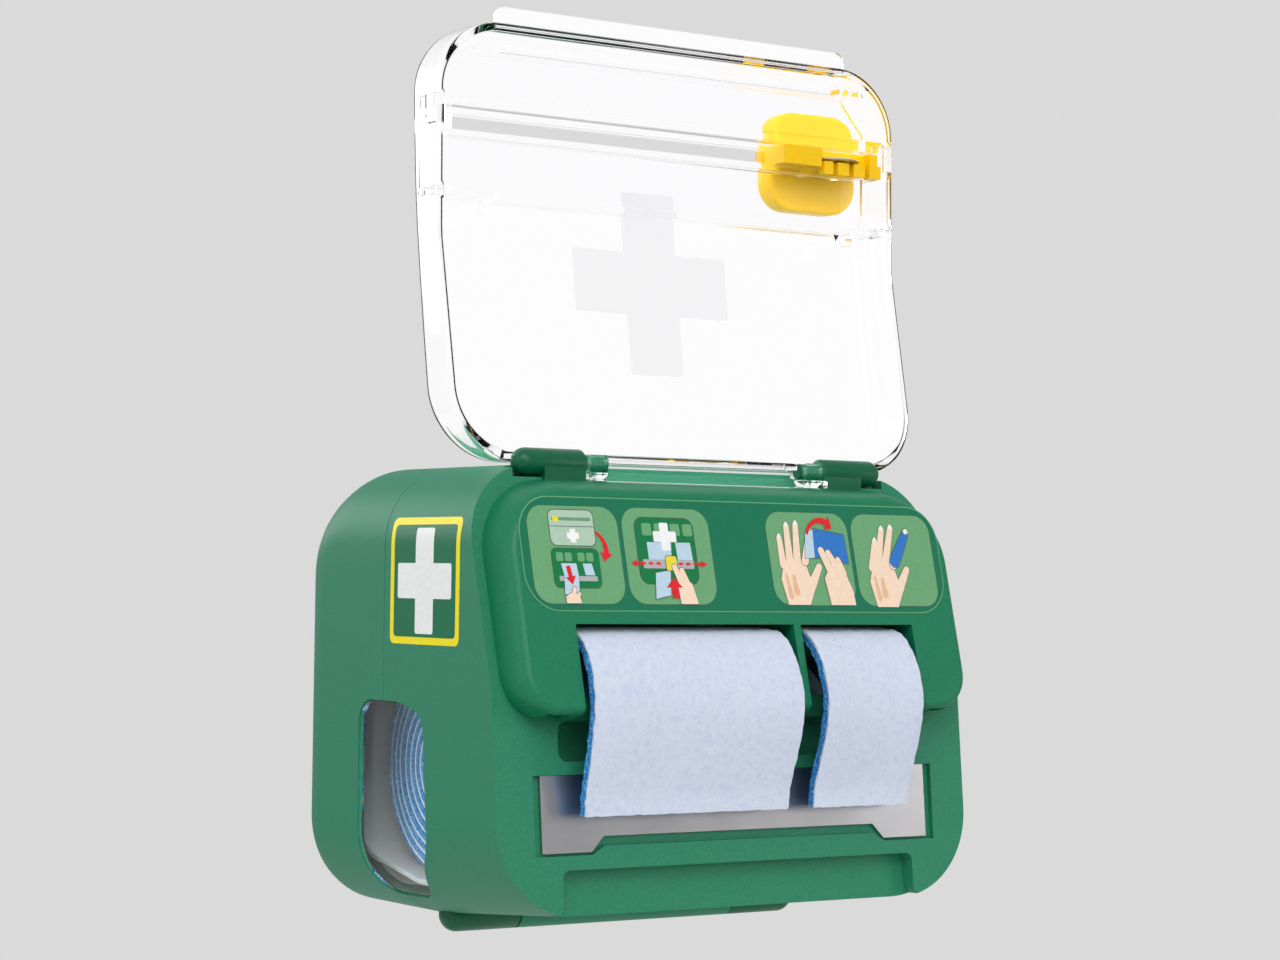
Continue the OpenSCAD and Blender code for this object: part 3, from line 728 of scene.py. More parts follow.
class Print:
    """Thin printed shapes on a surface, each a hair above the one before."""

    def __init__(self, place, thickness=0.05):
        self.bm = bmesh.new()
        self.place = place
        self.thickness = thickness
        self.level = 0.0
        self.materials = []

    def shape(self, outline_points, material):
        if material not in self.materials:
            self.materials.append(material)
        base, top = self.level, self.level + self.thickness
        rings = [[self.bm.verts.new(self.place(u, w, h)) for u, w in outline_points] for h in (base, top)]
        caps = [self.bm.faces.new(rings[1]), self.bm.faces.new(reversed(rings[0]))]
        for face in caps + bridge(self.bm, *rings):
            face.material_index = self.materials.index(material)
        self.level += 0.006

    def rounded(self, u0, w0, u1, w1, r, material):
        pts = []
        corners = ((u1 - r, w1 - r), (u0 + r, w1 - r), (u0 + r, w0 + r), (u1 - r, w0 + r))
        for number, (cu, cw) in enumerate(corners):
            pts += arc(cu, cw, r, 90 * number, 90 * number + 90)
        self.shape(pts, material)

    def framed(self, u0, w0, u1, w1, radii, rim, material):
        """A rounded shape with a dark line round it; radii are the line's and the shape's."""
        self.rounded(u0, w0, u1, w1, radii[0], OUTLINE)
        self.rounded(u0 + rim, w0 + rim, u1 - rim, w1 - rim, radii[1], material)

    def capsule(self, a, b, ra, rb, material):
        """A finger-like form between two points with a radius at each end."""
        (ax, ay), (bx, by) = a, b
        turn = math.degrees(math.atan2(by - ay, bx - ax))
        tip = arc(bx, by, rb, turn - 90, turn + 90, 10)
        self.shape(tip + arc(ax, ay, ra, turn + 90, turn + 270, 10), material)

    def arrow(self, a, b, width, head, material):
        (ax, ay), (bx, by) = a, b
        length = math.hypot(bx - ax, by - ay)
        ux, uy = (bx - ax) / length, (by - ay) / length
        nx, ny = -uy * width / 2, ux * width / 2
        mx, my = bx - ux * head, by - uy * head
        barb = 2.4
        self.shape([(ax + nx, ay + ny), (ax - nx, ay - ny), (mx - nx, my - ny),
                    (mx - barb * nx, my - barb * ny), (bx, by), (mx + barb * nx, my + barb * ny),
                    (mx + nx, my + ny)], material)

    def bow(self, centre, r, a0, a1, width, material):
        """A curved arrow that widens to its head."""
        steps = 12
        angles = [math.radians(a0 + (a1 - a0) * i / steps) for i in range(steps + 1)]
        cu, cw = centre
        def at(a, rr):
            return cu + rr * math.cos(a), cw + rr * math.sin(a)
        out = [at(a, r + width * (0.2 + 0.3 * i / steps)) for i, a in enumerate(angles)]
        back = [at(a, r - width * (0.2 + 0.3 * i / steps)) for i, a in enumerate(angles)]
        tip = math.radians(a1 + (a1 - a0) / abs(a1 - a0) * 26)
        self.shape(out + [at(angles[-1], r + 1.15 * width), at(tip, r), at(angles[-1], r - 1.15 * width)]
                   + back[::-1], material)

    def outlined(self, pieces, rim):
        """Draws finger and palm pieces with one dark line round all of them."""
        for grow, material in ((rim, OUTLINE), (0, SKIN)):
            for kind, *data in pieces:
                if kind == "finger":
                    a, b, ra, rb = data
                    self.capsule(a, b, ra + grow, rb + grow, material)
                else:
                    self.shape(grown(data[0], grow) if grow else data[0], material)

    def build(self, name, body, slot):
        bmesh.ops.recalc_face_normals(self.bm, faces=self.bm.faces)
        bmesh.ops.triangulate(self.bm, faces=[f for f in self.bm.faces if len(f.verts) > 4])
        return from_bmesh(name, self.bm, self.materials, body, slot, 30)


def grown(points, d):
    """An outline moved outwards by d along its corners."""
    n = len(points)
    area = sum(a[0] * b[1] - b[0] * a[1] for a, b in zip(points, points[1:] + points[:1]))
    sign = 1 if area > 0 else -1
    result = []
    for i in range(n):
        (ax, ay), (bx, by), (cx, cy) = points[i - 1], points[i], points[(i + 1) % n]
        l1, l2 = math.hypot(bx - ax, by - ay), math.hypot(cx - bx, cy - by)
        nx = (by - ay) / l1 + (cy - by) / l2
        ny = -(bx - ax) / l1 - (cx - bx) / l2
        length = max(math.hypot(nx, ny), 0.6)
        result.append((bx + sign * d * nx / length * 1.05, by + sign * d * ny / length * 1.05))
    return result


def shifted(points, du, dw):
    return [(u + du, w + dw) for u, w in points]


def hood_print(centre_u, centre_w, lift):
    """Maps panel coordinates to the hood's face."""
    def place(u, w, h):
        z = centre_w + w
        return point(centre_u + u, hood_face(z) - lift - h, z)
    return place


PANEL_CENTRES = (-48.85, -21.75, 21.75, 48.85)
PANEL_SIZE = (12.9, 11.7)
PANEL_Z = 86.0


def make_label():
    base = Print(hood_print(0, PANEL_Z, 0.01), 0.12)
    base.rounded(-64.2, 72.5 - PANEL_Z, 64.2, 100 - PANEL_Z, 9, PANEL_GREEN)
    base.level = 0.02
    base.rounded(-63.95, 72.75 - PANEL_Z, 63.95, 99.75 - PANEL_Z, 8.8, LABEL_GREEN)
    base.level = 0.04
    for centre in PANEL_CENTRES:
        u, w = PANEL_SIZE
        base.rounded(centre - u - 0.12, -w - 0.12, centre + u + 0.12, w + 0.12, 4.7, OUTLINE)
        base.level = 0.06
        base.rounded(centre - u, -w, centre + u, w, 4.6, PANEL_GREEN)
        base.level = 0.04
    label = base.build("visual_label", "cover", "label")
    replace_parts(label, "instruction_label")
    for number, draw in enumerate((draw_open_box, draw_closed_box, draw_wrapping, draw_wrapped), 1):
        art = Print(hood_print(PANEL_CENTRES[number - 1], PANEL_Z, 0.2), 0.03)
        draw(art)
        art.build(f"pictogram_{number}", "cover", "label")


def small_box(art):
    """The dispenser as a small drawing: body, panels and plate."""
    art.framed(-7.2, -8.0, 6.4, 1.6, (1.6, 1.5), 0.15, DEEP_INK)
    for u in (-5.9, -3.4, 0.2, 2.7):
        art.rounded(u, -1.6, u + 2.0, 0.5, 0.45, PANEL_GREEN)
    art.rounded(-5.6, -6.3, 5.2, -5.1, 0.15, GREY_INK)


def draw_open_box(art):
    art.framed(-6.9, 2.0, 6.2, 10.9, (1.8, 1.6), 0.2, MINT)
    art.framed(-5.9, 8.2, 5.2, 8.9, (0.3, 0.25), 0.1, PANEL_GREEN)
    art.rounded(-5.6, 7.9, -3.9, 9.2, 0.3, YELLOW_INK)
    art.rounded(-6.6, 6.7, 5.9, 6.85, 0.05, OUTLINE)
    art.rounded(-1.1, 2.9, 0.5, 6.2, 0.3, WHITE_INK)
    art.rounded(-2.0, 3.8, 1.4, 5.3, 0.3, WHITE_INK)
    small_box(art)
    art.shape([(-4.9, -2.0), (-0.3, -2.0), (0.0, -5.0), (-0.4, -9.6), (-4.7, -9.6), (-4.3, -5.0)], OUTLINE)
    art.shape([(-4.8, -2.1), (-0.4, -2.1), (-0.1, -5.0), (-0.5, -9.5), (-4.6, -9.5), (-4.2, -5.0)], PALE_BLUE)
    art.shape([(1.4, -2.1), (4.0, -2.1), (4.6, -4.9), (1.9, -4.9)], PALE_BLUE)
    art.arrow((-2.9, -2.7), (-2.1, -7.2), 1.25, 2.0, RED)
    art.bow((3.8, 1.2), 4.9, 62, -8, 1.5, RED)
    art.outlined([("palm", [(-4.4, -11.6), (-4.5, -10.0), (-2.6, -9.0), (-0.6, -9.6), (-0.2, -11.6)]),
                  ("finger", (-2.2, -9.6), (-1.7, -8.1), 0.6, 0.5),
                  ("finger", (-1.4, -10.4), (-0.5, -9.3), 0.5, 0.4)], 0.12)


def draw_closed_box(art):
    art.framed(-9.4, -6.9, 8.2, 9.5, (2.6, 2.4), 0.2, DEEP_INK)
    for u in (-7.2, -3.5, 1.2, 4.9):
        art.rounded(u, 5.0, u + 2.8, 8.0, 0.5, PANEL_GREEN)
    art.shape([(-6.2, 3.4), (1.0, 3.4), (0.4, -1.4), (-6.2, -1.4)], PALE_BLUE)
    art.shape([(2.2, 3.4), (6.6, 3.4), (6.9, -1.4), (2.4, -1.4)], PALE_BLUE)
    art.rounded(-8.0, -3.0, 7.0, -0.8, 0.3, GREY_INK)
    art.rounded(-2.0, 1.4, 0.6, 8.2, 0.4, WHITE_INK)
    art.rounded(-4.1, 3.5, 2.7, 6.1, 0.4, WHITE_INK)
    for u in (-8.6, -6.4, -4.2, 2.4, 4.6, 6.8):
        art.rounded(u, -2.1, u + 1.3, -1.5, 0.1, RED)
    art.arrow((-8.6, -1.8), (-11.6, -1.8), 0.7, 1.7, RED)
    art.arrow((8.2, -1.8), (11.0, -1.8), 0.7, 1.7, RED)
    art.shape([(-4.9, -4.0), (-0.2, -3.2), (-1.0, -9.6), (-5.8, -10.6)], OUTLINE)
    art.shape([(-4.8, -4.1), (-0.3, -3.4), (-1.1, -9.5), (-5.6, -10.4)], PALE_BLUE)
    art.framed(-1.5, -3.6, 2.0, 0.2, (0.7, 0.6), 0.15, YELLOW_INK)
    art.outlined([("palm", [(1.6, -11.6), (1.4, -7.6), (3.4, -5.4), (5.6, -6.6), (6.8, -11.6)]),
                  ("finger", (2.6, -6.6), (1.0, -2.6), 0.9, 0.75),
                  ("finger", (4.0, -6.2), (3.0, -3.4), 0.85, 0.7)], 0.13)
    art.arrow((0.3, -10.2), (0.3, -5.2), 2.0, 2.4, RED)


PALM = [(-4.6, -11.6), (-5.9, -5.2), (-4.2, -0.6), (2.2, -0.2), (3.2, -4.2), (4.6, -7.2), (2.2, -11.6)]
FINGERS = [((-4.6, -1.6), (-4.4, 5.2), 1.05, 0.8), ((-2.4, -0.8), (-1.7, 8.2), 1.15, 0.85),
           ((-0.1, -0.6), (1.3, 8.6), 1.15, 0.85)]
THUMB = ((3.4, -6.8), (6.6, -2.0), 1.35, 0.9)


def hand(art, du, dw, lean):
    """An open hand with its forefinger left out; lean shifts the finger tips sideways."""
    pieces = [("finger", (a[0] + du, a[1] + dw), (b[0] + du + lean, b[1] + dw), ra, rb)
              for a, b, ra, rb in FINGERS]
    a, b, ra, rb = THUMB
    pieces.append(("finger", (a[0] + du, a[1] + dw), (b[0] + du, b[1] + dw), ra, rb))
    pieces.append(("palm", shifted(PALM, du, dw)))
    art.outlined(pieces, 0.14)
    for a, b, ra, rb in FINGERS:
        tip = (b[0] + du + lean, b[1] + dw + 0.25)
        art.capsule(tip, (tip[0] + 0.05, tip[1] + 0.4), rb * 0.55, rb * 0.5, WHITE_INK)
    crease = FINGERS[-1][1][0] + du
    art.capsule((crease - 3.2, dw - 4.5), (crease - 2.8, dw - 8.5), 0.5, 0.9, SHADE)
    art.capsule((du - 4.2, dw - 4.0), (du - 3.4, dw - 9.5), 0.35, 0.7, SHADE)


def draw_wrapping(art):
    hand(art, -4.4, 0.0, -0.4)
    art.outlined([("finger", (-2.0, -0.6), (0.6, 7.0), 1.1, 0.85)], 0.14)
    art.shape([(-0.9, 6.6), (2.0, 7.8), (11.6, 6.4), (11.9, -1.2), (2.8, 0.2), (-2.0, 0.0)], OUTLINE)
    art.shape([(-0.8, 6.5), (2.0, 7.65), (11.5, 6.25), (11.75, -1.1), (2.8, 0.35), (-1.85, 0.1)], BLUE_INK)
    art.shape([(-0.8, 6.5), (1.7, 7.5), (1.2, 0.3), (-1.85, 0.1)], PALE_BLUE)
    palm = [(4.4, -11.6), (3.4, -4.8), (6.2, -1.2), (10.2, -3.2), (12.0, -8.0), (12.2, -11.6)]
    art.outlined([("palm", palm), ("finger", (5.6, -3.0), (3.4, 2.2), 1.1, 0.9),
                  ("finger", (8.0, -2.6), (5.6, 1.6), 1.0, 0.8),
                  ("finger", (9.6, -3.4), (8.4, -0.2), 1.0, 0.8)], 0.14)
    art.bow((4.2, 5.2), 4.6, 168, 62, 1.7, RED)


def draw_wrapped(art):
    hand(art, -3.2, -0.4, 1.9)
    art.outlined([("finger", (-0.8, -1.2), (4.9, 7.4), 1.2, 0.85)], 0.14)
    art.capsule((-0.1, -0.2), (4.3, 6.3), 1.75, 1.25, OUTLINE)
    art.capsule((-0.1, -0.2), (4.3, 6.3), 1.62, 1.12, BLUE_INK)
    art.capsule((4.75, 7.3), (4.9, 7.6), 0.5, 0.42, WHITE_INK)


# ---------- side sticker ----------

def side_x(z, lift):
    """X of the housing's left side at a height, with the round top corner."""
    over = z - (HOUSE_TOP - CORNER_TOP)
    if over <= 0:
        return -HALF_W - lift
    reach = CORNER_TOP + lift
    return -(HALF_W - CORNER_TOP) - reach * math.cos(math.asin(min(1.0, over / reach)))


def drape(bm, z0, z1, rows):
    """Cuts flat prints into level rows, so that they can follow a curved surface."""
    bm.normal_update()
    bmesh.ops.triangulate(bm, faces=[f for f in bm.faces if len(f.verts) > 4])
    for k in range(1, rows):
        bmesh.ops.bisect_plane(bm, geom=bm.verts[:] + bm.edges[:] + bm.faces[:],
                               plane_co=point(0, 0, z0 + (z1 - z0) * k / rows), plane_no=(0, 0, 1))


def make_sticker():
    low, high = node_box("side_sticker")
    rim, arm, reach = 1.8, 4.35, 13.0
    cy, cz = (low.y + high.y) / 2, (low.z + high.z) / 2
    art = Print(lambda u, w, h: point(-h, u, w), 0.03)
    art.rounded(low.y, low.z, high.y, high.z, 1.8, STICKER_YELLOW)
    art.level = 0.04
    art.rounded(low.y + rim, low.z + rim, high.y - rim, high.z - rim, 1.2, STICKER_GREEN)
    art.level = 0.08
    art.rounded(cy - arm, cz - reach, cy + arm, cz + reach, 0.7, WHITE_INK)
    art.level = 0.085
    art.rounded(cy - reach, cz - arm, cy + reach, cz + arm, 0.7, WHITE_INK)
    drape(art.bm, low.z, high.z, 24)
    for v in art.bm.verts:
        v.co.x = side_x(v.co.z / MM + MOUNT_Z, 0.03 - v.co.x / MM) * MM
    obj = art.build("visual_sticker", "cover", "sticker")
    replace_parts(obj, "side_sticker")


# ---------- bandage strips ----------

STRIP_PATH = [(-56, 63.2), (-76, 65.5), (-92, 67.2), (-101, 66.6), (-105.6, 64), (-109, 58.5),
              (-110.6, 51), (-110, 43), (-108.2, 34.5), (-106.9, 29), (-106.6, 24)]
HANG_Y = -101.0
BULGE_Z, BULGE_REACH = 50, 13


def spline(points, per_span):
    """Catmull-Rom curve through the points."""
    padded = [points[0]] + list(points) + [points[-1]]
    result = []
    for i in range(len(points) - 1):
        p0, p1, p2, p3 = padded[i:i + 4]
        for k in range(per_span):
            t = k / per_span
            result.append(tuple(0.5 * (2 * b + (c - a) * t + (2 * a - 5 * b + 4 * c - d) * t * t
                                       + (3 * b - a - 3 * c + d) * t ** 3)
                                for a, b, c, d in zip(p0, p1, p2, p3)))
    return result + [points[-1]]


def strip_mesh(name, x0, x1, points, seed, left_bulge, right_bulge):
    """A foam strip with a fleece face, slightly uneven edges and soft waves."""
    thickness, fleece_t, cols = 2.9, 0.55, 44
    bm = bmesh.new()
    layers = (thickness / 2, thickness / 2 - fleece_t, 0.0, -thickness / 2)
    grid = []
    for i, (y, z) in enumerate(points):
        (ya, za), (yb, zb) = points[max(i - 1, 0)], points[min(i + 1, len(points) - 1)]
        length = math.hypot(yb - ya, zb - za)
        ny, nz = (zb - za) / length, -(yb - ya) / length
        hang = math.exp(-((z - BULGE_Z) / BULGE_REACH) ** 2) if y < HANG_Y else 0.0
        row = []
        for j in range(cols + 1):
            s = j / cols
            x = x0 + (x1 - x0) * s
            bulge = hang * (left_bulge * (1 - s) ** 2 + right_bulge * s ** 2)
            wave = 0.35 * noise.noise(Vector((x * 0.07, z * 0.06, seed)))
            edge = 1 - min(1.0, min(s, 1 - s) * cols / 2.0)
            column = []
            for depth, layer in enumerate(layers):
                rough = 0.12 * noise.noise(Vector((x * 1.3, z * 1.3, seed + depth * 7.0)))
                jitter = edge * 0.35 * noise.noise(Vector((depth * 3.1, i * 0.35, seed + j)))
                cut_edge = i == len(points) - 1
                drop = 0.3 * noise.noise(Vector((x * 0.5, depth * 2.0, seed))) if cut_edge else 0.0
                h = layer - edge * 0.18 * (1 if layer > 0 else -1) + rough + wave + bulge
                column.append(bm.verts.new(point(x + jitter, y + ny * h, z + nz * h + drop)))
            row.append(column)
        grid.append(row)

    def quad(corners, index):
        bm.faces.new([grid[i][j][k] for i, j, k in corners]).material_index = index

    last = len(grid) - 1
    for i in range(last):
        for j in range(cols):
            for k, index in ((0, 1), (3, 0)):
                quad(((i, j, k), (i, j + 1, k), (i + 1, j + 1, k), (i + 1, j, k)), index)
        for j in (0, cols):
            for k in range(3):
                quad(((i, j, k), (i, j, k + 1), (i + 1, j, k + 1), (i + 1, j, k)), 1 if k == 0 else 0)
    for i in (0, last):
        for j in range(cols):
            for k in range(3):
                quad(((i, j, k), (i, j, k + 1), (i, j + 1, k + 1), (i, j + 1, k)), 1 if k == 0 else 0)
    return closed_form(name, bm, [FOAM, FLEECE], "cover", "foam_bandage", 60)


def make_strips():
    path = spline(STRIP_PATH, 9)
    split = next(i for i, (y, z) in enumerate(path) if y < HANG_Y)
    feed, hang = path[:split + 1], path[split:]
    for node, seed, left, right in (("wide_strip", 3.0, -0.2, 2.2), ("narrow_strip", 11.0, 1.6, 1.9)):
        low, high = node_box(node)
        inner = strip_mesh(node + "_feed", low.x, high.x, feed, seed, left, right)
        outer = strip_mesh("visual_" + node, low.x, high.x, hang, seed, left, right)
        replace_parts(outer, node)
        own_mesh(outer)


# ---------- lid ----------

LID_LEN = 109.5
LID_WALL = 2.2
LID_TRAVEL = 175.5
PANEL = [(-1, 16), (13, 18.5), (35, 22.3), (64, 26.6), (90, 28.2), (LID_LEN, 29)]
RIM_GAP = 0.5
LID = Outline(HALF_W, LID_AXIS[1], LID_AXIS[1] + LID_LEN, 18, 18, arc=20, side=26, cols=30)


def panel_y(z):
    return LID_AXIS[0] + smoothed(PANEL, z - LID_AXIS[1], 9)


def opened(y, z):
    """Where a point of the closed lid is when the lid stands open."""
    a, b = y - LID_AXIS[0], z - LID_AXIS[1]
    c, s = math.cos(math.radians(LID_TRAVEL)), math.sin(math.radians(LID_TRAVEL))
    return LID_AXIS[0] + a * c + b * s, LID_AXIS[1] - a * s + b * c


RIM = sorted((z, y) for y, z in (opened(face_y(zc) - RIM_GAP, zc) for zc in (-12, 0, 27, BEND_Z, 80, 104)))


def rim_y(z):
    return interpolate(RIM, z)


def make_lid():
    """The clear lid as one shell: panel, rounded shoulder and side wall down to the rim."""
    bm = bmesh.new()
    shoulder, steps, soft = 4.6, 8, 0.5
    inner_shoulder = shoulder - LID_WALL

    def wall_and_shoulder(inset, r):
        """Sections from the rim up the side wall and round onto the panel."""
        part = [(inset, lambda x, z, k=k: rim_y(z) + soft + (panel_y(z) - shoulder - rim_y(z) - soft) * k)
                for k in (0.0, 0.25, 0.5, 0.75)]
        for a in quarter(steps):
            part.append((inset + r * (1 - math.cos(a)),
                         lambda x, z, a=a: panel_y(z) - inset - r * (1 - math.sin(a))))
        return part

    outer = wall_and_shoulder(0.0, shoulder)
    inner = wall_and_shoulder(LID_WALL, inner_shoulder)
    rim = []
    for k in range(1, 6):
        a = math.pi * k / 6
        rim.append((LID_WALL / 2 * (1 - math.cos(a)), lambda x, z, a=a: rim_y(z) + soft * (1 - math.sin(a))))
    sections = list(reversed(outer)) + rim + inner
    rings = loft(bm, LID, sections)
    LID.cap(bm, rings[0], outer[-1][0], lambda x, z: panel_y(z))
    LID.cap(bm, rings[-1], inner[-1][0], lambda x, z: panel_y(z) - LID_WALL)
    obj = closed_form("visual_lid", bm, [CLEAR], "lid", "clear_plastic", 40)
    track_z, track_half, slot_x = 193.8, 1.9, (-61.5, 67.3)
    side_slots = ((173.8, 176.2), (191.6, 199.0))
    cuts = [cutter_box(slot_x, (-70, -40), (track_z - track_half, track_z + track_half))]
    for sign in (-1, 1):
        for z in side_slots:
            cuts.append(cutter_box(sorted((sign * (HALF_W - 4), sign * (HALF_W + 1))), (-69.2, -62.3), z))
        cuts.append(cutter_rod(*sorted((sign * 29.9, sign * 57.5)), 4.3, *LID_AXIS))
    boolean(obj, cuts)
    shade(obj, 35)
    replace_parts(obj, "lid_shell")
    make_lid_fittings()


def make_lid_fittings():
    """The finger lip, the snap hooks and the bar between them."""
    top = LID_AXIS[1] + LID_LEN
    bm = bmesh.new()
    lip = [(-54.8, top - 1.2), (54.8, top - 1.2), (54.8, top + 2.2), (53.9, top + 3.6), (52.4, top + 4.1),
           (-52.4, top + 4.1), (-53.9, top + 3.6), (-54.8, top + 2.2)]
    prism(bm, lip, -69.6, -67.7)
    bevel(closed_form("lid_finger_lip", bm, [CLEAR], "lid", "clear_plastic"), 0.5, 3, 40)
    bm = bmesh.new()
    prism(bm, [(-35.9, 104.2), (35.9, 104.2), (35.9, 106.4), (-35.9, 106.4)], -89.0, -85.6)
    prism(bm, [(-29.7, 108.8), (29.7, 108.8), (29.7, 110.8), (-29.7, 110.8)], -84.0, -75.2)
    bevel(closed_form("lid_hinge_bar", bm, [CLEAR], "lid", "clear_plastic"), 0.4, 3, 40)
    bm = bmesh.new()
    ring, inner_r, outer_r = 24, 2.05, 3.9
    for sign in (-1, 1):
        x = (sign * 30.7, sign * 35.9)
        start, end = math.radians(-35), math.radians(215)
        rings = []
        for k in range(ring + 1):
            a = start + (end - start) * k / ring
            corners = ((x[0], inner_r), (x[0], outer_r), (x[1], outer_r), (x[1], inner_r))
            c, s = math.cos(a), math.sin(a)
            rings.append([bm.verts.new(point(xx, LID_AXIS[0] + r * c, LID_AXIS[1] - r * s))
                          for xx, r in corners])
        tube(bm, rings)
        bm.faces.new(rings[0])
        bm.faces.new(reversed(rings[-1]))
    bevel(closed_form("lid_hooks", bm, [CLEAR], "lid", "clear_plastic"), 0.25, 2, 40)


def make_lid_cross():
    low, high = node_box("lid_cross")
    cz, reach, arm, corner = (low.z + high.z) / 2, (high.z - low.z) / 2, 8.2, 0.8
    outline_points = []
    for x, z, turn in ((arm, reach, 0), (-arm, reach, 90), (-arm, arm, None), (-reach, arm, 90),
                       (-reach, -arm, 180), (-arm, -arm, None), (-arm, -reach, 180), (arm, -reach, 270),
                       (arm, -arm, None), (reach, -arm, 270), (reach, arm, 0), (arm, arm, None)):
        if turn is None:
            outline_points.append((x, z + cz))
        else:
            outline_points += arc(x - math.copysign(corner, x), z - math.copysign(corner, z) + cz, corner,
                                  turn, turn + 90, 4)
    art = Print(lambda u, w, h: point(u, h, w), 0.12)
    art.shape(outline_points, FROST)
    drape(art.bm, low.z, high.z, 16)
    for v in art.bm.verts:
        v.co.y = (panel_y(v.co.z / MM + MOUNT_Z) + 0.03 + v.co.y / MM) * MM
    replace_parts(art.build("visual_lid_cross", "lid", "white_print"), "lid_cross")


# ---------- cutter ----------

def make_cutter():
    refined("cutter_guide", CLEAR, "lid", "clear_plastic", 0.3, 3)
    refined("cutter_carriage", YELLOW, "cutter", "yellow_plastic", 0.3, 3)
    refined("wheel_pin", BRIGHT_STEEL, "cutter", "steel", 0.15, 2)
    make_knob()
    make_wheel()


def make_knob():
    """Rounded yellow button with a finger hollow."""
    low, high = node_box("cutter_knob")
    cx, half_w = (low.x + high.x) / 2, (high.x - low.x) / 2
    edge, dish_r, dish_reach = 2.6, 23.6, 9.2
    form = Outline(half_w, low.z, high.z, 8, 8, arc=12, side=8, cols=18)
    dish_y = high.y + 22.0
    cz = (low.z + high.z) / 2

    def top(x, z):
        rho = math.hypot(x, z - cz)
        if rho < dish_reach:
            return dish_y - math.sqrt(dish_r ** 2 - rho ** 2)
        return high.y - 0.02 * (rho - dish_reach)

    bm = bmesh.new()
    steps = 8
    sections = [(1.0, lambda x, z: low.y), (0.35, lambda x, z: low.y + 0.2), (0.0, lambda x, z: low.y + 0.9),
                (0.0, lambda x, z: high.y - edge - 1.2)]
    for a in quarter(steps):
        sections.append((edge * (1 - math.cos(a)), lambda x, z, a=a: high.y - edge * (1 - math.sin(a)) - 0.1))
    rings = loft(bm, form, sections)
    form.cap(bm, rings[0], 1.0, lambda x, z: low.y)
    form.cap(bm, rings[-1], edge, top)
    for v in bm.verts:
        v.co.x += cx * MM
    obj = closed_form("visual_cutter_knob", bm, [YELLOW], "cutter", "yellow_plastic", 50)
    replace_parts(obj, "cutter_knob")


def make_wheel():
    """The cutting wheel, turned from a profile with a ground edge."""
    low, high = node_box("cutting_wheel")
    cx, cy, cz = ((low[i] + high[i]) / 2 for i in range(3))
    outer, hub, bore, thick, hub_t = (high.x - low.x) / 2, 2.6, 1.15, 0.5, 0.6
    profile = [(bore, hub_t - 0.1), (bore + 0.1, hub_t), (hub - 0.1, hub_t), (hub, hub_t - 0.1),
               (hub + 0.05, thick), (outer - 1.4, thick), (outer - 1.3, thick - 0.03), (outer - 0.05, 0.1),
               (outer, 0.0)]
    profile = profile + [(r, -h) for r, h in reversed(profile[:-1])]
    segments = 96
    bm = bmesh.new()
    turns = [2 * math.pi * k / segments for k in range(segments)]
    rings = [[bm.verts.new(point(cx + r * math.cos(a), cy + r * math.sin(a), cz + h)) for a in turns]
             for r, h in profile]
    tube(bm, rings + rings[:1])
    obj = closed_form("visual_cutting_wheel", bm, [BRIGHT_STEEL], "wheel", "steel", 25)
    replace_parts(obj, "cutting_wheel")


# ---------- stage, light and camera ----------

BACKDROP = srgb(218, 218, 218)


def make_stage():
    floor_z, reach = -0.34, 1.05
    bm = bmesh.new()
    bmesh.ops.create_grid(bm, x_segments=8, y_segments=8, size=reach)
    for v in bm.verts:
        v.co += Vector((0, 0, floor_z))
    floor = mesh_object("floor", bm)
    m = Surface("pale_floor")
    m.set(Specular_IOR_Level=0.2)
    m.paint(m.noise(6, 2), [(0.3, srgb(222, 222, 222)), (0.7, srgb(226, 226, 226))])
    m.roughen(m.noise(20, 2), 0.6, 0.7)
    floor.data.materials.append(m.material)


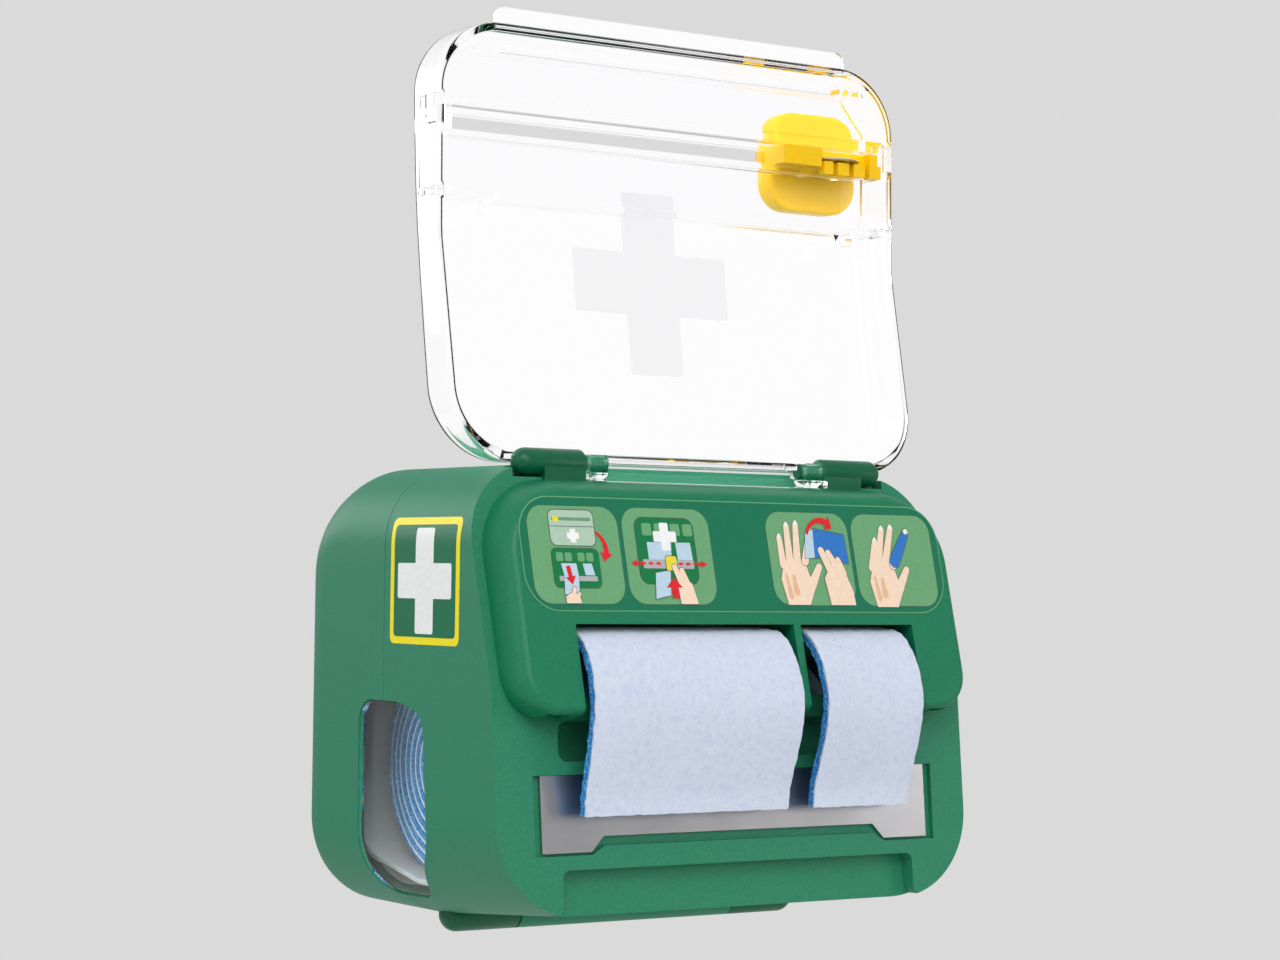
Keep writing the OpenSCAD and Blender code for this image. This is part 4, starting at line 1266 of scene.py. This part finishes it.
def make_world():
    """A pale surround: dimmer from below, and bright where it's seen through clear plastic."""
    world = bpy.data.worlds.new("studio")
    bpy.context.scene.world = world
    world.use_nodes = True
    graph = Graph(world.node_tree)

    def background(colour):
        return graph.add("Background", {"Color": colour}).outputs[0]

    def mix(factor, a, b):
        return graph.add("MixShader", {0: factor, 1: a, 2: b}).outputs[0]

    direction = graph.add("SeparateXYZ", {0: graph.add("TexCoord").outputs["Generated"]})
    height = graph.add("MapRange", {"From Min": -1.0, "Value": direction.outputs["Z"]})
    sky = graph.ramp(height.outputs["Result"], [(0.0, (0.12, 0.12, 0.12, 1)), (0.5, (0.36, 0.36, 0.365, 1)),
                                                (1.0, (0.62, 0.62, 0.63, 1))])
    path = graph.add("LightPath").outputs
    seen = mix(path["Is Camera Ray"], background(sky), background(BACKDROP))
    inside = graph.add("Math", {0: path["Transmission Depth"], 1: path["Is Diffuse Ray"]},
                       operation="SUBTRACT", use_clamp=True)
    through = mix(inside.outputs[0], seen, background((1.0, 0.998, 1.0, 1.0)))
    graph.link(through, graph.tree.nodes["World Output"].inputs["Surface"])


def area_light(name, place, target, size, power):
    light = bpy.data.lights.new(name, "AREA")
    light.shape = "RECTANGLE"
    light.size, light.size_y = size
    light.energy = power
    obj = linked(name, light)
    obj.location = place
    obj.rotation_euler = (Vector(target) - Vector(place)).to_track_quat("-Z", "Y").to_euler()


def make_lights():
    area_light("key", (-0.75, -1.1, 0.95), (0, -0.05, 0), (0.9, 0.7), 9)
    area_light("side", (-1.5, -0.1, 0.35), (0, -0.05, 0.02), (0.8, 0.9), 2.6)
    area_light("front", (-0.1, -1.6, 0.5), (0, -0.05, 0.02), (0.7, 0.7), 4)
    area_light("back", (-0.5, 1.3, 0.5), (0, -0.05, 0.1), (0.7, 0.6), 4)
    area_light("plate", (1.2, -1.15, 0.12), (0.05, -0.1, 0), (0.3, 0.5), 1.6)


def make_camera():
    azimuth, pitch, roll = math.radians(-34.09), math.radians(1.85), math.radians(0.77)
    target, distance, lens = Vector((0.0142, -0.0342, 0.0530)), 0.8, 83.31
    level = math.cos(pitch)
    forward = Vector((-math.sin(azimuth) * level, math.cos(azimuth) * level, math.sin(pitch)))
    right = Vector((math.cos(azimuth), math.sin(azimuth), 0))
    up = right.cross(forward)
    side = right * math.cos(roll) + up * math.sin(roll)
    top = up * math.cos(roll) - right * math.sin(roll)
    data = bpy.data.cameras.new("camera")
    data.lens, data.sensor_width, data.clip_start = lens, 36, 0.01
    camera = linked("camera", data)
    turn = Matrix((side, top, -forward)).transposed().to_4x4()
    camera.matrix_world = Matrix.Translation(target - forward * distance) @ turn
    bpy.context.scene.camera = camera


make_housing()
make_roll("wide_roll", "wide_bandage_roll", 5)
make_roll("narrow_roll", "narrow_bandage_roll", 9)
make_cover()
make_lid()
make_lid_cross()
make_cutter()
make_stage()
make_world()
make_lights()
make_camera()
bpy.context.scene.view_settings.view_transform = "Standard"
